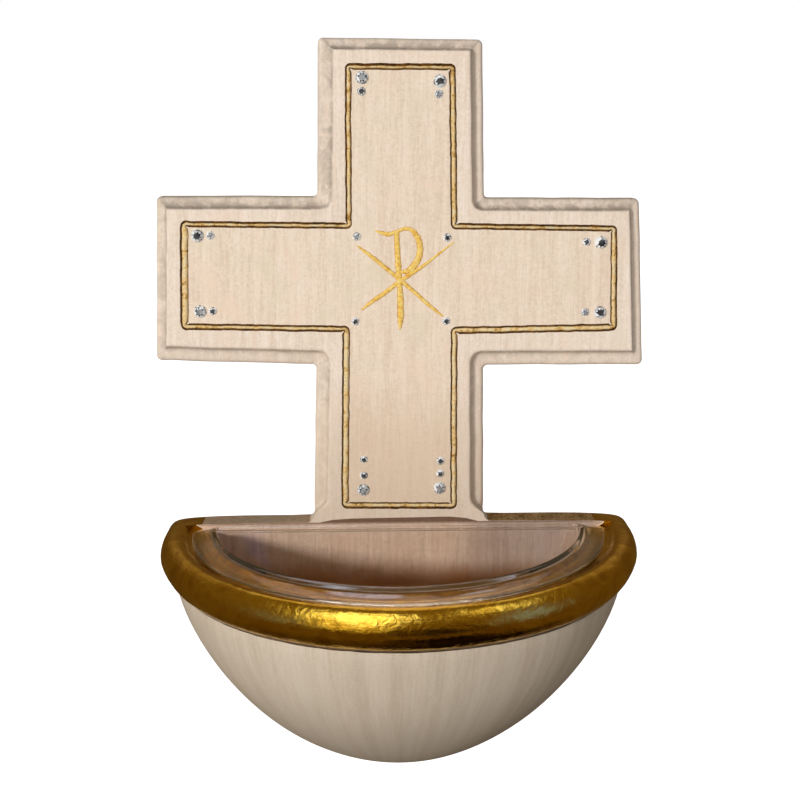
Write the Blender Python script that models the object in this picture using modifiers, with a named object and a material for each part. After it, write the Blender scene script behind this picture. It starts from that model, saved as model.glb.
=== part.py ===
"""Wall-hung holy water font: a moulded wooden cross board carrying a half-turned
wooden bowl with a gilded rim and a lift-out clear water insert.

Frame: origin on the wall face of the board at the height of the bowl's rim,
+X to the viewer's right, +Y into the wall, +Z up. Dimensions below are in
millimetres and are turned into metres by MM.
"""

import math

import bmesh
import bpy
from mathutils import Matrix, Vector

MM = 0.001

# ---------------------------------------------------------------- dimensions
BOARD_T = 7.0            # thickness of the board
HALF_SPAN = 60.0         # half the width over the side arms
ARM_HALF = 20.6          # half the width of the upright
ARM_TOP_Z = 81.7         # upper edge of the side arms
ARM_BOT_Z = 40.5         # lower edge of the side arms
CROSS_TOP_Z = 119.1      # top of the cross
OUTER_R = 1.3            # radius of the outer corners, seen from the front
INNER_R = 1.5            # radius of the re-entrant corners
FOOT_R = 1.6             # fillet between the upright and the board's lower part
MOULD_FADE_Z = 4.2       # the edge moulding dies out below this height

# edge moulding: (inset from the outline, depth from the wall face)
MOULDING = (
    (0.7, 0.0),
    (0.0, 0.7),
    (0.0, 3.7),
    (0.45, 4.55),
    (1.1, 4.8),
    (1.75, 4.6),
    (2.1, 4.75),
    (2.75, 6.1),
    (3.4, 7.0),
)

# routed line inside the cross: its centre line, width and depth
LINE_X = 13.0
LINE_END_X = 52.5
LINE_TOP_Z = 112.4
LINE_ARM_TOP_Z = 74.9
LINE_ARM_BOT_Z = 49.8
LINE_BOTTOM_Z = 4.3
GROOVE_W = 1.6
GROOVE_DEPTH = 0.8

RIM_H = 10.3             # height of the gilded rim
BORE_R = 49.3            # bore through rim and bowl
LAND_Z = -1.7            # ledge that carries the insert's flange
BODY_R = 56.2            # bowl radius just under the rim
BODY_H = 50.1            # height of the bowl under the rim
BODY_A, BODY_B = 1.47, 1.91
JOINT_GAP = 0.3          # gap left between touching pieces
TURN_STEPS = 76          # facets in a full turn

INSERT_R = 51.0          # radius of the insert's flange
INSERT_C = 1.5           # its centre, in front of the board's face
INSERT_BACK = 1.2        # gap from the board's face to the flange
INSERT_CORNER = 3.2
FLANGE_TOP_Z = 1.0
FLANGE_T = 2.4
INSERT_FLOOR_Z = -26.5   # inside floor of the insert

BIG_STONE_D = 3.15
SMALL_STONE_D = 2.1
STONE_SEAT = 0.5         # depth of a stone's seat
STONE_SUNK = 0.2         # how far a stone's back lies under the face
SEAT_GAP = 0.12          # glue gap round a stone

HANGER_Z = 97.0          # middle of the hanger plate
HANGER_W, HANGER_L, HANGER_T = 13.0, 30.0, 1.2
KEYHOLE_R = 4.1          # entry for the head of a wall screw
KEYSLOT_W = 4.4
KEYSLOT_UP = 7.5         # centre of the slot's round end above the entry
KEYHOLE_DROP = 4.0       # entry's centre below the middle of the plate
POCKET_DEPTH = 5.2       # head pocket behind the plate, from the wall face

BOWL_SCREWS = {"left": (-33.0, -37.0), "right": (33.0, -37.0), "bottom": (0.0, -50.0)}

FACE = -BOARD_T          # y of the board's front face
AXIS_Y = FACE            # the bowl's turning axis lies in the board's face

# ---------------------------------------------------------------- clean start
for old in list(bpy.data.objects):
    bpy.data.objects.remove(old, do_unlink=True)
for old in list(bpy.data.collections):
    bpy.data.collections.remove(old)

parts = bpy.data.collections.new("holy_water_font")
cutters = bpy.data.collections.new("font_cutters")
bpy.context.scene.collection.children.link(parts)
bpy.context.scene.collection.children.link(cutters)

root = bpy.data.objects.new("font_root", None)
parts.objects.link(root)


def material(name, colour, roughness, metallic=0.0, transmission=0.0):
    mat = bpy.data.materials.new(name)
    mat.use_nodes = True
    shader = mat.node_tree.nodes["Principled BSDF"]
    shader.inputs["Base Color"].default_value = (*colour, 1.0)
    shader.inputs["Roughness"].default_value = roughness
    shader.inputs["Metallic"].default_value = metallic
    shader.inputs["Transmission Weight"].default_value = transmission
    return mat


GLAZED_WOOD = material("white_glazed_wood", (0.80, 0.67, 0.54), 0.55)
BOWL_WOOD = material("white_glazed_bowl", (0.72, 0.62, 0.51), 0.5)
GOLD_LEAF = material("gold_leaf", (0.72, 0.46, 0.10), 0.25, 1.0)
CLEAR = material("clear_plastic", (0.95, 0.94, 0.92), 0.05, 0.0, 0.9)
CRYSTAL = material("crystal", (0.93, 0.95, 0.97), 0.02, 0.0, 0.8)
BRASS = material("brass", (0.75, 0.55, 0.22), 0.35, 1.0)
STEEL = material("zinc_steel", (0.62, 0.62, 0.63), 0.35, 1.0)


# ---------------------------------------------------------------- small tools
def finish(obj, mat, collection=parts, smooth_angle=30.0):
    """Links the object, gives it its material and a shade-smooth finish."""
    collection.objects.link(obj)
    obj.parent = root if collection is parts else None
    if mat is not None:
        obj.data.materials.append(mat)
    obj.data.shade_smooth()
    obj.data.set_sharp_from_angle(angle=math.radians(smooth_angle))
    if collection is cutters:
        obj.hide_render = True
        obj.display_type = "WIRE"
    return obj


def from_bmesh(name, bm):
    bmesh.ops.recalc_face_normals(bm, faces=bm.faces)
    mesh = bpy.data.meshes.new(name)
    bm.to_mesh(mesh)
    bm.free()
    return bpy.data.objects.new(name, mesh)


def loft(bm, rings, cap_first=True, cap_last=True):
    """Skins closed rings that have the same number of points, and caps the ends."""
    made = [[bm.verts.new(Vector(p) * MM) for p in ring] for ring in rings]
    count = len(made[0])
    for low, high in zip(made, made[1:]):
        for i in range(count):
            j = (i + 1) % count
            bm.faces.new((low[i], low[j], high[j], high[i]))
    if cap_first:
        bm.faces.new(made[0])
    if cap_last:
        bm.faces.new(list(reversed(made[-1])))


def corner(x, z, toward, leaving, radius, steps=5):
    """A rounded corner at (x, z), coming along -toward and going along leaving."""
    cx = x + (toward[0] + leaving[0]) * radius
    cz = z + (toward[1] + leaving[1]) * radius
    start = math.atan2(z + toward[1] * radius - cz, x + toward[0] * radius - cx)
    end = math.atan2(z + leaving[1] * radius - cz, x + leaving[0] * radius - cx)
    turn = (end - start + math.pi) % (2 * math.pi) - math.pi
    return [
        (
            cx + radius * math.cos(start + turn * k / steps),
            cz + radius * math.sin(start + turn * k / steps),
        )
        for k in range(steps + 1)
    ]


def turned(name, profile, steps=TURN_STEPS):
    """A mesh turned about the bowl's axis from (radius, height) points: closed
    profiles make a ring, and profiles that start and end on the axis a solid."""
    bm = bmesh.new()
    points = [bm.verts.new((r * MM, 0.0, z * MM)) for r, z in profile]
    for a, b in zip(points, points[1:]):
        bm.edges.new((a, b))
    if profile[0][0] > 0.0:
        bm.edges.new((points[-1], points[0]))
    mesh = bpy.data.meshes.new(name)
    bm.to_mesh(mesh)
    bm.free()
    obj = bpy.data.objects.new(name, mesh)
    screw = obj.modifiers.new("turn", "SCREW")
    screw.axis = "Z"
    screw.angle = 2 * math.pi
    screw.steps = screw.render_steps = steps
    screw.use_merge_vertices = True
    screw.merge_threshold = 0.00001
    return obj


def cut(obj, cutter, operation="DIFFERENCE"):
    boolean = obj.modifiers.new(operation.lower(), "BOOLEAN")
    boolean.operation = operation
    boolean.solver = "EXACT"
    boolean.object = cutter
    return boolean


def add_box(bm, low, high):
    made = bmesh.ops.create_cube(bm, size=1.0)["verts"]
    size = Vector([(b - a) * MM for a, b in zip(low, high)])
    middle = Vector([(a + b) / 2 * MM for a, b in zip(low, high)])
    bmesh.ops.transform(
        bm, matrix=Matrix.Translation(middle) @ Matrix.Diagonal((*size, 1.0)), verts=made
    )


def add_cone(bm, x, z, y_back, y_front, r_back, r_front, segments):
    """A closed cone along Y between two depths."""
    made = bmesh.ops.create_cone(
        bm,
        cap_ends=True,
        segments=segments,
        radius1=r_front * MM,
        radius2=r_back * MM,
        depth=(y_back - y_front) * MM,
    )["verts"]
    spot = Matrix.Translation((x * MM, (y_back + y_front) / 2 * MM, z * MM))
    bmesh.ops.transform(bm, matrix=spot @ Matrix.Rotation(-math.pi / 2, 4, "X"), verts=made)


# ---------------------------------------------------------------- bowl profile
def body_radius(z):
    """Outer radius of the bowl at a height under the rim."""
    u = min(1.0, max(0.0, (-RIM_H - z) / BODY_H))
    return BODY_R * (1.0 - u**BODY_A) ** (1.0 / BODY_B)


def body_outer(count):
    """Points down the bowl's outside, closer together towards the bottom."""
    found = []
    for k in range(count + 1):
        u = 1.0 - (1.0 - k / count) ** 2
        z = -RIM_H - BODY_H * u
        found.append((body_radius(z), z))
    return found


# ---------------------------------------------------------------- back board
def board_half(inset, lower_inset):
    """Right half of the board's outline, bottom to top, moved inwards by inset
    on the cross and by lower_inset on the part behind the bowl."""
    side = []
    # behind the bowl: a little inside the bowl's own outline
    low = [(max(0.0, r - 0.8), z + 0.6) for r, z in body_outer(16)][::-1]
    for r, z in low:
        if z > -RIM_H - 1.0:
            continue
        slope = math.atan2(r, 62.0 + z)
        side.append((max(0.0, r - lower_inset * math.sin(slope)), z + lower_inset * math.cos(slope)))
    side[0] = (0.0, low[0][1] + lower_inset)
    # beside the rim: flush with the rim's outside
    wide = [
        (57.4, -9.9), (58.4, -9.0), (59.3, -7.6), (59.8, -6.0), (59.8, -4.5), (59.3, -3.0), (58.4, -1.7), (57.2, -0.75),
        (55.9, -0.3), (53.5, -0.12), (50.0, 0.0),
    ]
    for k, (x, z) in enumerate(wide):
        (x0, z0), (x1, z1) = wide[max(0, k - 1)], wide[min(len(wide) - 1, k + 1)]
        run = math.hypot(x1 - x0, z1 - z0)
        side.append((x - lower_inset * (z1 - z0) / run, z + lower_inset * (x1 - x0) / run))
    # foot of the upright
    foot = 0.25 * inset
    side += corner(ARM_HALF - foot * 0.3, -lower_inset, (1.0, 0.0), (0.0, 1.0), FOOT_R)
    side.append((ARM_HALF - inset * 0.6, FOOT_R + 0.45 * (MOULD_FADE_Z - FOOT_R)))
    side.append((ARM_HALF - inset, MOULD_FADE_Z))
    round_out = max(OUTER_R - inset, 0.12)
    round_in = INNER_R + inset
    side += corner(ARM_HALF - inset, ARM_BOT_Z + inset, (0.0, -1.0), (1.0, 0.0), round_in)
    side += corner(HALF_SPAN - inset, ARM_BOT_Z + inset, (-1.0, 0.0), (0.0, 1.0), round_out)
    side += corner(HALF_SPAN - inset, ARM_TOP_Z - inset, (0.0, -1.0), (-1.0, 0.0), round_out)
    side += corner(ARM_HALF - inset, ARM_TOP_Z - inset, (1.0, 0.0), (0.0, 1.0), round_in)
    side += corner(ARM_HALF - inset, CROSS_TOP_Z - inset, (0.0, -1.0), (-1.0, 0.0), round_out)
    return side


def board_ring(inset, depth):
    lower = inset if depth < 1.0 else 0.0
    right = board_half(inset, lower)
    whole = right + [(-x, z) for x, z in reversed(right[1:])]
    fade = []
    for x, z in whole:
        # behind the bowl the edge is square, so its rings are spread over the thickness
        if z < MOULD_FADE_Z - 0.01:
            near = max(0.0, (z - FOOT_R) / (MOULD_FADE_Z - FOOT_R))
            even = depth if depth < 1.0 else BOARD_T * (0.15 + 0.85 * (depth - 0.7) / (BOARD_T - 0.7))
            at = even + (depth - even) * near
        else:
            at = depth
        fade.append((x, -at, z))
    return fade


bm = bmesh.new()
loft(bm, [board_ring(inset, depth) for inset, depth in MOULDING])
back_board = finish(from_bmesh("back_board", bm), GLAZED_WOOD)

# routed line round the cross
def line_loop(out):
    """The line's corners, moved outwards from its centre line."""
    right = [
        (LINE_X + out, LINE_BOTTOM_Z - out),
        (LINE_X + out, LINE_ARM_BOT_Z - out),
        (LINE_END_X + out, LINE_ARM_BOT_Z - out),
        (LINE_END_X + out, LINE_ARM_TOP_Z + out),
        (LINE_X + out, LINE_ARM_TOP_Z + out),
        (LINE_X + out, LINE_TOP_Z + out),
    ]
    return right + [(-x, z) for x, z in reversed(right)]


bm = bmesh.new()
outer = line_loop(GROOVE_W / 2)
inner = line_loop(-GROOVE_W / 2)
front, floor = FACE - 0.6, FACE + GROOVE_DEPTH
ring = [
    [(x, front, z) for x, z in outer],
    [(x, floor, z) for x, z in outer],
    [(x, floor, z) for x, z in inner],
    [(x, front, z) for x, z in inner],
]
loft(bm, ring + [ring[0]], cap_first=False, cap_last=False)
bmesh.ops.remove_doubles(bm, verts=bm.verts, dist=1e-7)
groove_cutter = finish(from_bmesh("groove_cutter", bm), None, cutters)
cut(back_board, groove_cutter)

# ---------------------------------------------------------------- crystal stones
# offsets of each stone from the nearest corner of the routed line, (size, dx, dz)
BIG, SMALL = BIG_STONE_D, SMALL_STONE_D
STONES = {
    "top_left": ((-LINE_X, LINE_TOP_Z), ((BIG, 3.7, -2.5), (SMALL, 3.6, -5.7))),
    "top_right": ((LINE_X, LINE_TOP_Z), ((BIG, -3.8, -3.2), (SMALL, -4.0, -6.2))),
    "left_upper": ((-LINE_END_X, LINE_ARM_TOP_Z), ((BIG, 3.3, -2.5), (SMALL, 6.5, -2.4))),
    "left_lower": ((-LINE_END_X, LINE_ARM_BOT_Z), ((BIG, 3.5, 4.1), (SMALL, 6.6, 4.2))),
    "right_upper": ((LINE_END_X, LINE_ARM_TOP_Z), ((BIG, -3.55, -3.8), (SMALL, -7.1, -3.7))),
    "right_lower": ((LINE_END_X, LINE_ARM_BOT_Z), ((BIG, -3.15, 4.1), (SMALL, -6.85, 4.15))),
    "foot_left": ((-LINE_X, LINE_BOTTOM_Z), ((BIG, 3.95, 4.1), (SMALL, 4.05, 7.9), (SMALL, 4.05, 12.1))),
    "foot_right": ((LINE_X, LINE_BOTTOM_Z), ((BIG, -2.8, 4.55), (SMALL, -2.65, 8.4), (SMALL, -2.6, 11.7))),
    "middle_upper_left": ((-LINE_X, LINE_ARM_TOP_Z), ((SMALL, 2.45, -2.55),)),
    "middle_upper_right": ((LINE_X, LINE_ARM_TOP_Z), ((SMALL, -1.6, -2.7),)),
    "middle_lower_left": ((-LINE_X, LINE_ARM_BOT_Z), ((SMALL, 2.05, 1.7),)),
    "middle_lower_right": ((LINE_X, LINE_ARM_BOT_Z), ((SMALL, -1.6, 1.85),)),
}

seats = bmesh.new()
for place, ((corner_x, corner_z), group) in STONES.items():
    for number, (size, dx, dz) in enumerate(group, 1):
        x, z = corner_x + dx, corner_z + dz
        add_cone(
            seats, x, z, FACE + STONE_SEAT, FACE - 0.6,
            size / 2 + SEAT_GAP, size / 2 + SEAT_GAP, 14,
        )
        # flat-backed stone: a girdle, a sloping crown and a flat table
        bm = bmesh.new()
        back = FACE + STONE_SUNK
        girdle = back - 0.08 * size
        table = back - 0.36 * size
        rings = []
        for radius, y in ((0.94, back), (1.0, girdle), (0.56, table)):
            rings.append(
                [
                    (
                        x + radius * size / 2 * math.cos(2 * math.pi * k / 12),
                        y,
                        z + radius * size / 2 * math.sin(2 * math.pi * k / 12),
                    )
                    for k in range(12)
                ]
            )
        loft(bm, rings)
        suffix = "" if len(group) == 1 else "_%d" % number
        finish(from_bmesh("stone_%s%s" % (place, suffix), bm), CRYSTAL, smooth_angle=5.0)
seat_cutter = finish(from_bmesh("seat_cutter", seats), None, cutters)
cut(back_board, seat_cutter)

# ---------------------------------------------------------------- hanger plate
def capsule(width, length, middle, steps=6):
    """Outline of an upright slot with round ends: (x, z) points."""
    r = width / 2
    up = middle + length / 2 - r
    down = middle - length / 2 + r
    points = []
    for k in range(2 * steps + 1):
        a = math.pi * k / (2 * steps)
        points.append((r * math.cos(a), up + r * math.sin(a)))
    for k in range(2 * steps + 1):
        a = math.pi + math.pi * k / (2 * steps)
        points.append((r * math.cos(a), down + r * math.sin(a)))
    return points


def add_prism(bm, outline, y_back, y_front):
    loft(bm, [[(x, y_back, z) for x, z in outline], [(x, y_front, z) for x, z in outline]])


plate_back = -0.2                       # the plate lies just under the wall face
plate_front = plate_back - HANGER_T
entry_z = HANGER_Z - KEYHOLE_DROP
plate_screw_z = (HANGER_Z - HANGER_L / 2 + 3.6, HANGER_Z + HANGER_L / 2 - 3.6)

bm = bmesh.new()
add_prism(bm, capsule(HANGER_W, HANGER_L, HANGER_Z), plate_back, plate_front)
hanger_plate = finish(from_bmesh("hanger_plate", bm), BRASS)

bm = bmesh.new()
add_cone(bm, 0.0, entry_z, 1.0, -3.0, KEYHOLE_R, KEYHOLE_R, 24)
keyhole_cutter = finish(from_bmesh("keyhole_cutter", bm), None, cutters)
cut(hanger_plate, keyhole_cutter)
bm = bmesh.new()
add_prism(
    bm,
    capsule(KEYSLOT_W, KEYSLOT_UP + KEYSLOT_W, entry_z + KEYSLOT_UP / 2),
    1.0,
    -3.0,
)
keyslot_cutter = finish(from_bmesh("keyslot_cutter", bm), None, cutters)
cut(hanger_plate, keyslot_cutter)
bm = bmesh.new()
for z in plate_screw_z:
    add_cone(bm, 0.0, z, 0.4, -1.6, 3.3, 1.3, 20)
plate_hole_cutter = finish(from_bmesh("plate_hole_cutter", bm), None, cutters)
cut(hanger_plate, plate_hole_cutter)

# recess for the plate, and the pocket that takes the head of the wall screw
bm = bmesh.new()
add_prism(bm, capsule(HANGER_W + 2 * JOINT_GAP, HANGER_L + 2 * JOINT_GAP, HANGER_Z), 1.0, plate_front - JOINT_GAP)
recess_cutter = finish(from_bmesh("recess_cutter", bm), None, cutters)
cut(back_board, recess_cutter)
bm = bmesh.new()
add_prism(
    bm,
    capsule(2 * KEYHOLE_R + 1.0, KEYSLOT_UP + 2 * KEYHOLE_R + 1.0, entry_z + KEYSLOT_UP / 2),
    -0.9,
    -POCKET_DEPTH,
)
pocket_cutter = finish(from_bmesh("pocket_cutter", bm), None, cutters)
cut(back_board, pocket_cutter)


# ---------------------------------------------------------------- wood screws
def wood_screw(name, x, z, head_r, shank_r, length, y_head, mat):
    """Countersunk slotted wood screw, driven in from the wall side along -Y."""
    head = (head_r - shank_r) * 1.0
    profile = [
        (0.0, 0.0),
        (head_r - 0.15, 0.0),
        (head_r, -0.15),
        (shank_r, -0.15 - head),
        (shank_r, -length + 2.0),
        (0.35 * shank_r, -length + 0.2),
        (0.0, -length),
    ]
    screw = turned(name, profile, 20)
    finish(screw, mat)
    # it is turned about +Z with its head up, and then laid with its head towards the wall
    screw.location = (x * MM, y_head * MM, z * MM)
    screw.rotation_euler = (-math.pi / 2, 0.0, 0.0)
    slot = bmesh.new()
    turn = math.radians(35.0 if x < 0 else -20.0)
    add_box(slot, (-head_r - 1.0, -0.35, -0.6), (head_r + 1.0, 0.35, 0.6))
    bmesh.ops.transform(
        slot,
        matrix=Matrix.Translation((x * MM, y_head * MM, z * MM))
        @ Matrix.Rotation(-math.pi / 2, 4, "X")
        @ Matrix.Rotation(turn, 4, "Z"),
        verts=slot.verts,
    )
    slot_cutter = finish(from_bmesh(name + "_slot", slot), None, cutters)
    cut(screw, slot_cutter)
    return screw


wood_screw("hanger_screw_lower", 0.0, plate_screw_z[0], 2.2, 1.0, 5.0, plate_back - 0.1, BRASS)
wood_screw("hanger_screw_upper", 0.0, plate_screw_z[1], 2.2, 1.0, 5.0, plate_back - 0.1, BRASS)
for side, (x, z) in BOWL_SCREWS.items():
    wood_screw("bowl_screw_" + side, x, z, 3.0, 1.45, 16.0, -0.4, STEEL)

bm = bmesh.new()
for z in plate_screw_z:
    add_cone(bm, 0.0, z, -1.0, -5.6, 1.3, 1.3, 16)
for x, z in BOWL_SCREWS.values():
    add_cone(bm, x, z, 1.0, -2.6, 4.6, 1.75, 20)
board_hole_cutter = finish(from_bmesh("board_hole_cutter", bm), None, cutters)
cut(back_board, board_hole_cutter)
bm = bmesh.new()
for x, z in BOWL_SCREWS.values():
    add_cone(bm, x, z, -1.5, FACE - 0.8, 1.75, 1.75, 16)
board_bore_cutter = finish(from_bmesh("board_bore_cutter", bm), None, cutters)
cut(back_board, board_bore_cutter)

# ---------------------------------------------------------------- bowl
outer = body_outer(20)
outer[0] = (outer[0][0] - 0.25, -RIM_H - JOINT_GAP)
cavity = [
    (0.0, -32.5),
    (20.0, -32.3),
    (34.0, -31.6),
    (38.5, -30.4),
    (41.2, -28.2),
    (43.8, -25.0),
    (46.6, -19.5),
    (48.6, -13.5),
    (BORE_R, -RIM_H - JOINT_GAP),
]
bowl_shell = turned("bowl_shell", cavity + outer)
finish(bowl_shell, BOWL_WOOD)
bowl_shell.location = (0.0, AXIS_Y * MM, 0.0)

# ---------------------------------------------------------------- gilded rim
rim_profile = [
    (BORE_R, -RIM_H),
    (BORE_R, LAND_Z - 0.4),
    (BORE_R + 0.4, LAND_Z),
    (53.2, LAND_Z),
    (53.6, LAND_Z + 0.25),
    (54.0, LAND_Z + 0.9),
    (54.8, LAND_Z + 1.35),
    (55.9, LAND_Z + 1.4),
    (57.2, LAND_Z + 0.95),
    (58.4, LAND_Z + 0.0),
    (59.3, LAND_Z - 1.3),
    (59.8, LAND_Z - 2.8),
    (59.8, LAND_Z - 4.3),
    (59.3, LAND_Z - 5.9),
    (58.4, LAND_Z - 7.3),
    (57.4, LAND_Z - 8.3),
    (56.8, -RIM_H),
]
gilded_rim = turned("gilded_rim", rim_profile)
finish(gilded_rim, GOLD_LEAF)
gilded_rim.location = (0.0, AXIS_Y * MM, 0.0)

# both are halves: everything behind the board's face is cut away
bm = bmesh.new()
add_box(bm, (-80.0, FACE - JOINT_GAP, -90.0), (80.0, 90.0, 40.0))
half_cutter = finish(from_bmesh("half_cutter", bm), None, cutters)
cut(bowl_shell, half_cutter)
cut(gilded_rim, half_cutter)

bm = bmesh.new()
for x, z in BOWL_SCREWS.values():
    add_cone(bm, x, z, FACE + 1.0, -17.2, 1.7, 1.7, 16)
pilot_cutter = finish(from_bmesh("pilot_cutter", bm), None, cutters)
cut(bowl_shell, pilot_cutter)


# ---------------------------------------------------------------- water insert
def tray_ring(arc_in, back_in, z, arc_steps=34, corner_steps=5):
    """D-shaped outline: a round front and a straight back joined by two rounds.
    arc_in and back_in move the front and the back inwards."""
    radius = INSERT_R - arc_in
    back = INSERT_BACK + back_in - INSERT_C        # back line, in front of the centre
    r = max(INSERT_CORNER - 0.25 * arc_in, 1.5)
    # centre of the corner round: r inside the back line and r inside the front
    cy = back + r
    cx = math.sqrt((radius - r) ** 2 - cy**2)
    meet = math.atan2(cy, cx)
    points = []
    for k in range(arc_steps + 1):
        a = meet + (math.pi - 2 * meet) * k / arc_steps
        points.append((radius * math.cos(a), radius * math.sin(a)))
    for k in range(1, corner_steps + 1):
        a = math.pi - meet + (math.pi / 2 + meet) * k / corner_steps
        points.append((-cx + r * math.cos(a), cy + r * math.sin(a)))
    for k in range(corner_steps):
        a = 1.5 * math.pi + (math.pi / 2 + meet) * k / corner_steps
        points.append((cx + r * math.cos(a), cy + r * math.sin(a)))
    return [(x, FACE - INSERT_C - forward, z) for x, forward in points]


flange_low = FLANGE_TOP_Z - FLANGE_T
floor_z = INSERT_FLOOR_Z
TRAY = (
    (17.0, 9.2, floor_z - 1.1),
    (14.2, 7.6, floor_z - 0.5),
    (12.4, 6.5, floor_z + 1.9),
    (5.3, 4.0, flange_low - 0.6),
    (4.7, 3.6, flange_low),
    (0.4, 0.4, flange_low),
    (0.0, 0.0, flange_low + 0.2),
    (0.25, 0.25, flange_low + 0.5),
    (1.6, 1.3, flange_low + 0.8),
    (3.4, 2.6, flange_low + 1.45),
    (5.1, 4.0, FLANGE_TOP_Z - 0.12),
    (5.6, 4.45, FLANGE_TOP_Z),
    (6.0, 4.85, FLANGE_TOP_Z - 0.35),
    (6.3, 5.05, FLANGE_TOP_Z - 1.3),
    (13.5, 7.5, floor_z + 2.4),
    (14.9, 8.5, floor_z + 0.6),
    (17.6, 10.0, floor_z),
)
bm = bmesh.new()
loft(bm, [tray_ring(*step) for step in TRAY])
water_insert = from_bmesh("water_insert", bm)
# its origin is on the line that it lifts along
lift_line = Vector((0.0, (FACE - 26.0) * MM, 0.0))
water_insert.data.transform(Matrix.Translation(-lift_line))
finish(water_insert, CLEAR)
water_insert.location = lift_line
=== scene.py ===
import math

import bmesh
import bpy
from mathutils import Matrix, Vector, noise


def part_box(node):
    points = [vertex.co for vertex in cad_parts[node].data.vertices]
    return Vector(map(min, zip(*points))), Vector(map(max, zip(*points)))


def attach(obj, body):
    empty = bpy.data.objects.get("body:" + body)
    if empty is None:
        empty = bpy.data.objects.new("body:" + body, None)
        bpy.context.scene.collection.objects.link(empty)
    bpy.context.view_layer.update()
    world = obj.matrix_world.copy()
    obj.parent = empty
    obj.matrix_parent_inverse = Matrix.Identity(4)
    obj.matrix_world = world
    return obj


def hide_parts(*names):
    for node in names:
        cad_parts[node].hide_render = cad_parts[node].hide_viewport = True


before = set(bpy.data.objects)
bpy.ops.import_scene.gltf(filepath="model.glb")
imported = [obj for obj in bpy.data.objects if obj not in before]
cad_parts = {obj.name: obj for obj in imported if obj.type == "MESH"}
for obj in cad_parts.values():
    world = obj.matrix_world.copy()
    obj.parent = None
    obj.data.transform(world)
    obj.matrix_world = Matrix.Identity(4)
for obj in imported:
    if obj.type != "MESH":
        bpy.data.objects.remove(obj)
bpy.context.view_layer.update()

MM = 0.001

# ------------------------------------------------------------------ dimensions, millimetres
FACE = -7.0                    # front face of the board
BOARD_T = 7.0
RIM_H = 10.3
BORE_R = 49.3
LAND_Z = -1.7
BODY_R, BODY_H, BODY_A, BODY_B = 56.2, 50.1, 1.47, 1.91
# hollow of the bowl: radius, height
CAVITY = [
    (0.0, -32.5), (10.0, -32.45), (20.0, -32.3), (28.0, -32.0), (34.0, -31.5), (37.0, -30.9), (39.2, -29.9), (41.2, -28.2),
    (42.8, -26.4), (44.4, -24.1), (45.9, -21.2), (47.1, -18.2), (48.1, -15.0), (48.8, -12.6), (BORE_R, -RIM_H + 0.02),
]


LEAN = 0.0095                  # the bowl was set a touch higher on the right, this much per millimetre


# ------------------------------------------------------------------ mesh tools
def finished(name, bm, mats, sharp=32.0, flat=False):
    """Makes an object of a bmesh, in millimetres until here, with its materials."""
    bmesh.ops.scale(bm, vec=(MM, MM, MM), verts=bm.verts)
    bmesh.ops.recalc_face_normals(bm, faces=bm.faces)
    mesh = bpy.data.meshes.new(name)
    bm.to_mesh(mesh)
    bm.free()
    for mat in mats:
        mesh.materials.append(mat)
    obj = bpy.data.objects.new(name, mesh)
    bpy.context.scene.collection.objects.link(obj)
    if not flat:
        mesh.shade_smooth()
        mesh.set_sharp_from_angle(angle=math.radians(sharp))
    return obj


def skin(bm, rings, closed=True, slot_of=None, cap_first=None, cap_last=None):
    """Skins rings of points that have one length each. slot_of(ring, point) gives a
    face's material slot; cap_first and cap_last are slots for end caps."""
    made = [[bm.verts.new(p) for p in ring] for ring in rings]
    count = len(made[0])
    for k, (low, high) in enumerate(zip(made, made[1:])):
        for i in range(count if closed else count - 1):
            j = (i + 1) % count
            face = bm.faces.new((low[i], low[j], high[j], high[i]))
            if slot_of:
                face.material_index = slot_of(k, i)
    for ring, slot in ((made[0], cap_first), (made[-1], cap_last)):
        if slot is not None:
            bm.faces.new(ring).material_index = slot
    return made


def baked(obj):
    """Puts the modifiers' result in the mesh."""
    graph = bpy.context.evaluated_depsgraph_get()
    mesh = bpy.data.meshes.new_from_object(obj.evaluated_get(graph))
    obj.modifiers.clear()
    old = obj.data
    obj.data = mesh
    bpy.data.meshes.remove(old)
    return obj


def carve(obj, cutter):
    """Cuts one object out of another and removes the cutter."""
    cut = obj.modifiers.new("carve", "BOOLEAN")
    cut.operation = "DIFFERENCE"
    cut.solver = "EXACT"
    cut.object = cutter
    bpy.context.view_layer.update()
    baked(obj)
    mesh = cutter.data
    bpy.data.objects.remove(cutter, do_unlink=True)
    bpy.data.meshes.remove(mesh)


def smoothstep(a, b, x):
    t = min(1.0, max(0.0, (x - a) / (b - a)))
    return t * t * (3 - 2 * t)


def rounding(before, at, after, radius, steps):
    """Points of a round in the corner at, between the ways to before and to after."""
    u = (Vector(before) - Vector(at)).normalized()
    v = (Vector(after) - Vector(at)).normalized()
    half = u.angle(v) / 2
    middle = Vector(at) + (u + v).normalized() * (radius / math.sin(half))
    run = radius / math.tan(half)
    a = Vector(at) + u * run - middle
    b = Vector(at) + v * run - middle
    start = math.atan2(a.y, a.x)
    turn = (math.atan2(b.y, b.x) - start + math.pi) % (2 * math.pi) - math.pi
    return [
        (middle.x + radius * math.cos(start + turn * k / steps),
         middle.y + radius * math.sin(start + turn * k / steps))
        for k in range(steps + 1)
    ]


def body_radius(z):
    u = min(1.0, max(0.0, (-RIM_H - z) / BODY_H))
    return BODY_R * (1.0 - u**BODY_A) ** (1.0 / BODY_B)


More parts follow.
